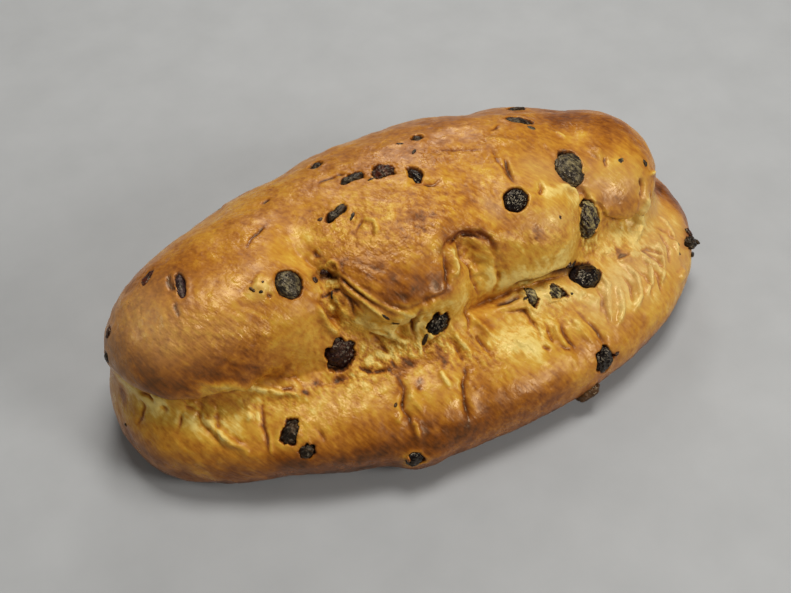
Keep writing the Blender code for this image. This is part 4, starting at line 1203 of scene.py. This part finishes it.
@dataclass
class Crust:
    """The loaf's body of dough with its baked crust."""

    voxel: float = 1.43e-3
    fill_grow: float = 0.5e-3
    fine_reach: float = 3.2
    underside_share: float = 0.06
    finish: CrustFinish = field(default_factory=CrustFinish)

    def build(self) -> bpy.types.Object:
        """Make the crust.

        Returns:
            The finished piece.
        """
        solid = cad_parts["dough"]
        names = sorted(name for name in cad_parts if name.startswith("raisin"))
        piece = self._filled_copy(solid, names)
        skin = Skin(piece)
        skin.points = skin.evened(skin.points, 6)
        skin.refresh()
        self.seats = [Seat.of(name, seed, skin.tree) for seed, name in enumerate(names)]
        self._close_over(skin)
        skin = self._refined(skin, piece)
        self._bake_and_shade_all_over(skin)
        for drag in DRAGS:
            skin.draw(drag)
        skin.refresh()
        for mark in FOLDS:
            skin.press(mark)
        skin.points = skin.evened(skin.points, 1)
        skin.refresh()
        for tint in TINTS:
            skin.bake(tint)
        for mark in CREASES:
            skin.press(mark)
        for patch in PATCHES:
            skin.streak(patch)
        self._roughen(skin)
        skin.refresh()
        self._shade_creases(skin)
        for seat in self.seats:
            self._open_seat(skin, seat)
        skin.layers["tone"] = np.clip(skin.layers["tone"], 0, 1)
        skin.points[:, 2] = np.maximum(skin.points[:, 2], 0)
        skin.write()
        self._thin_underside(piece)
        piece.data.materials.clear()
        piece.data.materials.append(self.finish.material())
        piece.data.shade_smooth()
        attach(piece, "root")
        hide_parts("dough")
        self.skin = skin
        piece.data.calc_loop_triangles()
        LOG.info("crust: %d points, %d triangles", len(piece.data.vertices), len(piece.data.loop_triangles))
        return piece

    def _filled_copy(self, solid: bpy.types.Object, names: list) -> bpy.types.Object:
        """Copy the dough with its pockets filled, divided into even small squares.

        Args:
            solid: The dough's solid.
            names: The raisins' names.

        Returns:
            The copy.
        """
        piece = copy_of(solid, "loaf_crust")
        fills = []
        for name in names:
            fill = copy_of(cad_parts[name], f"fill_{name}")
            bpy.ops.object.mode_set(mode="EDIT")
            bpy.ops.mesh.select_all(action="SELECT")
            bpy.ops.transform.shrink_fatten(value=self.fill_grow)
            bpy.ops.object.mode_set(mode="OBJECT")
            fills.append(fill)
        activate(piece)
        for fill in fills:
            fill.select_set(True)
        bpy.ops.object.join()
        remesh = piece.modifiers.new("even", "REMESH")
        remesh.mode = "VOXEL"
        remesh.voxel_size = self.voxel
        bpy.ops.object.modifier_apply(modifier=remesh.name)
        return piece

    def _close_over(self, skin: Skin) -> None:
        """Draw the dough flat over each raisin, from the crust round it.

        Args:
            skin: The crust's points.
        """
        covered = np.zeros(len(skin.points), bool)
        for seat in self.seats:
            local = seat.local(skin.points) / (seat.half + np.array([2.0, 2.0, 3.0]))
            covered |= (local**2).sum(axis=1) < 1
        for _ in range(100):
            evened = skin.evened(skin.points, 1)
            skin.points[covered] = evened[covered]
        skin.points = skin.evened(skin.points, 9)
        skin.refresh()

    def _refined(self, skin: Skin, piece: bpy.types.Object) -> Skin:
        """Divide the crust's faces again along its marks and round its raisins.

        Args:
            skin: The crust's points.
            piece: The crust.

        Returns:
            The points of the finer crust.
        """
        spots = [spot for mark in (*FOLDS, *CREASES) for spot in skin.lay(mark.route, 2.5)]
        reach = [self.fine_reach] * len(spots)
        for seat in self.seats:
            spots.append(skin.tree.find_nearest(Vector(seat.centre))[0])
            reach.append(seat.half[:2].max() + 2 if seat.centre[1] < 40 else 0.0)
        skin.write()
        finder = kdtree.KDTree(len(spots))
        for number, spot in enumerate(spots):
            finder.insert(spot, number)
        finder.balance()
        fine = np.zeros(len(skin.points), bool)
        for number, point in enumerate(skin.points):
            fine[number] = any(gap < reach[k] for _, k, gap in finder.find_range(point, 11))
        corners = np.empty(len(piece.data.loops), int)
        piece.data.loops.foreach_get("vertex_index", corners)
        for face in piece.data.polygons:
            span = corners[face.loop_start : face.loop_start + face.loop_total]
            face.select = bool(fine[span].all())
        bpy.context.tool_settings.mesh_select_mode = (False, False, True)
        activate(piece)
        bpy.ops.object.mode_set(mode="EDIT")
        bpy.ops.mesh.subdivide(number_cuts=1)
        bpy.ops.mesh.select_all(action="DESELECT")
        bpy.ops.object.mode_set(mode="OBJECT")
        finer = Skin(piece)
        finer.points = finer.evened(finer.points, 3)
        finer.refresh()
        return finer

    def _bake_and_shade_all_over(self, skin: Skin) -> None:
        """Give the crust its first tone: a little browner on top, and darker where it faces down and,
        low down, where it faces outwards, which is partly browner baking and partly painted shade.

        Args:
            skin: The crust's points.
        """
        up = skin.normals[:, 2]
        height = skin.points[:, 2]
        tone = 0.42 + 0.04 * smooth_step(60, 88, height)
        # Partly painted shade: darker low down where the crust faces outwards, and where it faces down.
        tone += 0.3 * smooth_step(0.35, -0.4, up) * smooth_step(45, 10, height)
        tone += 0.2 * smooth_step(0.1, -0.5, up) + 0.26 * smooth_step(-0.7, -0.95, up)
        tone += 0.08 * noise_at(skin.points, 24, 3) + 0.05 * noise_at(skin.points, 9, 4)
        tone[height < 1.0] = 0.84
        skin.layers = {name: np.zeros(len(tone)) for name in ("flush", "crevice_shade", "torn", "pallor_and_sheen", "blistered")}
        skin.layers["tone"] = tone

    def _roughen(self, skin: Skin) -> None:
        """Raise the crust's own unevenness: soft swells, small blisters and fine grain, and torn dough.

        Args:
            skin: The crust's points.
        """
        free = smooth_step(0.3, 3, skin.points[:, 2])
        torn = skin.layers["torn"]
        swell = 0.6 * noise_at(skin.points, 14, 5) + 0.3 * noise_at(skin.points, 5, 6)
        grain = (0.16 + 0.3 * torn + 0.22 * skin.layers["blistered"]) * noise_at(skin.points, 2.0, 7)
        drawn = skin.points * np.array([1.0, 0.35, 0.35])
        crumple = torn * (1.0 * np.abs(noise_at(skin.points, 5, 8)) + 1.0 * np.abs(noise_at(drawn, 2.2, 9)) - 0.6)
        skin.points += (free * (swell + grain + crumple))[:, None] * skin.normals
        skin.layers["tone"] -= 0.3 * torn * (np.abs(noise_at(skin.points, 5, 8)) * 2 - 0.5)
        skin.layers["tone"] -= 0.3 * torn * (np.abs(noise_at(drawn, 2.2, 9)) * 2 - 0.5)

    def _shade_creases(self, skin: Skin) -> None:
        """Paint shade into the hollows, darker the more they bend in, and make the ridges paler by as much.

        Args:
            skin: The crust's points.
        """
        bend = ((skin.evened(skin.points, 5) - skin.points) * skin.normals).sum(axis=1)
        hollow = np.clip(bend / 0.2, -1, 1)
        skin.layers["tone"] += 0.14 * hollow

    def _open_seat(self, skin: Skin, seat: Seat) -> None:
        """Open the crust over a raisin, with a raised rim round it, or draw a thin skin over it.

        Args:
            skin: The crust's points.
            seat: The raisin's seat.
        """
        look = seat.look
        local = seat.local(skin.points)
        near = np.nonzero((np.abs(local) < seat.half.max() * 2.2 + 3).all(axis=1) & (local[:, 2] > -seat.half[2]))[0]
        spots = local[near]
        half = seat.half[:2] * look.open_share
        away = np.hypot(spots[:, 0] / half[0], spots[:, 1] / half[1]) / seat.outline(spots)
        beyond = (away - 1) * half.min()
        hidden = seat.hidden(spots)
        inside = (1 - smooth_step(-0.9, 0.3, beyond)) * (1 - hidden)
        rim = np.exp(-(((beyond - 0.9) / 1.1) ** 2))
        top = seat.half[2] * np.sqrt(np.clip(1.05 - away**2, 0, 1)) + 0.35
        over = hidden * smooth_step(1.2, -0.6, beyond) * np.clip(top - spots[:, 2], 0, 4)
        move = -3.2 * inside + look.rim * rim + over
        skin.points[near] += move[:, None] * seat.axes[2]
        tone = skin.layers["tone"]
        ring = np.exp(-(((beyond - 0.8) / 1.5) ** 2)) * 0.6
        tone[near] += ring * (look.rim_tone - tone[near])
        # Painted shade round the raisin: darker at the pocket's edge and near black just inside it.
        edge = np.exp(-((np.minimum(beyond + 0.1, 0) / 1.5) ** 2)) * (beyond < 0.2) * (1 - hidden)
        tone[near] += edge * (0.9 - tone[near])
        skin.layers["crevice_shade"][near] = np.maximum(skin.layers["crevice_shade"][near], edge * (beyond < -0.3))

    def _thin_underside(self, piece: bpy.types.Object) -> None:
        """Leave fewer faces on the flat underside.

        Args:
            piece: The crust.
        """
        activate(piece)
        mesh = piece.data
        heights = np.empty(len(mesh.vertices) * 3)
        mesh.vertices.foreach_get("co", heights)
        low = heights.reshape(-1, 3)[:, 2] < 0.6 * MM
        corners = np.empty(len(mesh.loops), int)
        mesh.loops.foreach_get("vertex_index", corners)
        for face in mesh.polygons:
            span = corners[face.loop_start : face.loop_start + face.loop_total]
            face.select = bool(low[span].all())
        bpy.ops.object.mode_set(mode="EDIT")
        bpy.ops.mesh.decimate(ratio=self.underside_share)
        bpy.ops.object.mode_set(mode="OBJECT")


def wrinkled(half: np.ndarray, detail: int, wrinkle: float, seed: float) -> tuple:
    """Make a wrinkled lump with its middle at the origin, as the active object.

    Args:
        half: Its half sizes in millimetres.
        detail: How finely its ball is divided.
        wrinkle: How deep its wrinkles are.
        seed: Which lump it is.

    Returns:
        The object, and its points in millimetres.
    """
    deselect()
    bpy.ops.mesh.primitive_ico_sphere_add(subdivisions=detail, radius=1)
    piece = bpy.context.object
    flat = np.empty(len(piece.data.vertices) * 3)
    piece.data.vertices.foreach_get("co", flat)
    ball = flat.reshape(-1, 3)
    plan = np.hypot(ball[:, 0], ball[:, 1])[:, None]
    squared = ball.copy()
    squared[:, :2] *= np.maximum(plan, 1e-6) ** (-0.25)
    points = squared * half
    drawn = points * np.array([0.6, 1.0, 1.0])
    size = min(1.0, half.min() / 3)
    folds = np.abs(noise_at(drawn, 2.2 * size, seed)) + 0.5 * np.abs(noise_at(drawn, 1.1 * size, seed + 9))
    move = 0.7 * noise_at(points, 5 * size, seed + 4) + wrinkle * (1.7 * folds - 0.9)
    return piece, points + ball * (size * move)[:, None]


def place_lump(piece: bpy.types.Object, places: np.ndarray) -> None:
    """Give a lump its points, in millimetres in the loaf's own frame."""
    piece.data.vertices.foreach_set("co", ((places + LOAF_ORIGIN) * MM).ravel())
    piece.data.update()
    piece.data.shade_smooth()


@dataclass
class Raisins:
    """The raisins, each a wrinkled fruit in its seat, and the small bits of fruit."""

    finishes: dict = field(default_factory=lambda: {kind: look.material() for kind, look in FRUIT.items()})

    def build(self, crust: Crust) -> list:
        """Make the raisins and the bits.

        Args:
            crust: The crust that they lie in.

        Returns:
            The finished pieces.
        """
        pieces = [self._raisin(seat) for seat in crust.seats]
        pieces += [self._bit(bit, number, crust.skin) for number, bit in enumerate(BITS)]
        LOG.info("raisins: %d, bits: %d", len(crust.seats), len(BITS))
        return pieces

    def _raisin(self, seat: Seat) -> bpy.types.Object:
        """Make one raisin.

        Args:
            seat: Where it lies.

        Returns:
            The finished piece.
        """
        piece, points = wrinkled(seat.half * max(1, seat.look.open_share - 0.04), seat.look.detail, seat.look.wrinkle, 4.0 * seat.seed + 1)
        piece.name = f"{seat.name}_fruit"
        place_lump(piece, points @ seat.axes + seat.centre - seat.look.sunk * seat.axes[2])
        piece.data.materials.append(self.finishes[seat.look.kind])
        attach(piece, "root")
        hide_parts(seat.name)
        return piece

    def _bit(self, bit: Bit, number: int, skin: Skin) -> bpy.types.Object:
        """Make one small bit.

        Args:
            bit: The bit.
            number: Its number.
            skin: The crust's points.

        Returns:
            The finished piece.
        """
        half = np.array(bit.size, float)
        piece, points = wrinkled(half, 3, 0.8, 3.0 * number + 2)
        piece.name = f"bit_{number:02d}"
        spot, out = (np.array(v) for v in skin.tree.find_nearest(Vector(bit.place))[:2])
        along = np.array(bit.along, float)
        along -= (along @ out) * out
        along /= np.linalg.norm(along)
        along = (along + bit.rise * out) / math.hypot(1, bit.rise)
        across = np.cross(out, along)
        across /= np.linalg.norm(across)
        axes = np.stack([along, across, np.cross(along, across)])
        place_lump(piece, points @ axes + spot - bit.sunk * half[2] * out)
        piece.data.materials.append(self.finishes[bit.kind])
        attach(piece, "root")
        return piece


@dataclass
class Studio:
    """The floor, the soft lights and the camera."""

    target: tuple = (-0.0114, -0.0001, 0.0273)
    azimuth: float = -26.0
    elevation: float = 50.0
    lens: float = 50.0
    distance: float = 0.5139
    floor_size: float = 8.0
    gap: float = 0.0002

    def build(self) -> None:
        """Set the stage, the lights and the camera."""
        deselect()
        bpy.ops.mesh.primitive_plane_add(size=self.floor_size, location=(0, 0, -self.gap))
        floor = bpy.context.object
        floor.name = "floor"
        material = bpy.data.materials.new("floor")
        material.use_nodes = True
        shader = material.node_tree.nodes["Principled BSDF"]
        tree = Nodes(material.node_tree)
        place = tree.node("ShaderNodeTexCoord").outputs["Object"]
        shade = tree.ramp(tree.noise(place, 30, 4), ((0.3, (174, 174, 172)), (0.7, (180, 180, 178))))
        tree.feed(shade, shader.inputs["Base Color"])
        shader.inputs["Roughness"].default_value = 0.8
        floor.data.materials.append(material)
        self._light("overhead", (0.15, 0.1, 1.2), 0.45, 8.4)
        self._light("back", (0.35, 0.9, 0.7), 0.35, 2.8)
        self._light("left", (-0.95, 0.3, 0.65), 0.3, 1.2)
        self._light("front_right", (0.65, -0.95, 0.75), 0.4, 7.5)
        world = bpy.data.worlds.new("room")
        bpy.context.scene.world = world
        world.use_nodes = True
        room = world.node_tree.nodes["Background"]
        room.inputs["Color"].default_value = (1.0, 0.97, 0.92, 1)
        room.inputs["Strength"].default_value = 0.07
        bpy.context.scene.view_settings.view_transform = "Standard"
        self._camera()

    def _light(self, name: str, place: tuple, size: float, power: float) -> None:
        """Add a soft square light that faces the loaf.

        Args:
            name: Its name.
            place: Where it hangs.
            size: Its side.
            power: Its power in watts.
        """
        bpy.ops.object.light_add(type="AREA", location=place)
        lamp = bpy.context.object
        lamp.name = name
        lamp.data.size = size
        lamp.data.energy = power
        lamp.rotation_euler = (-Vector(place)).to_track_quat("-Z", "Y").to_euler()

    def _camera(self) -> None:
        """Add the camera."""
        turn, rise = math.radians(self.azimuth), math.radians(self.elevation)
        back = Vector((math.sin(turn) * math.cos(rise), -math.cos(turn) * math.cos(rise), math.sin(rise)))
        bpy.ops.object.camera_add(location=Vector(self.target) + back * self.distance)
        camera = bpy.context.object
        camera.rotation_euler = (-back).to_track_quat("-Z", "Y").to_euler()
        camera.data.lens = self.lens
        camera.data.clip_start = 0.01
        bpy.context.scene.camera = camera


def main() -> None:
    """Build the crust, the raisins and the studio in order."""
    logging.basicConfig(level=logging.INFO, format="%(message)s")
    noise.seed_set(NOISE_SEED)
    crust = Crust()
    crust.build()
    Raisins().build(crust)
    Studio().build()


if __name__ == "__main__":
    main()
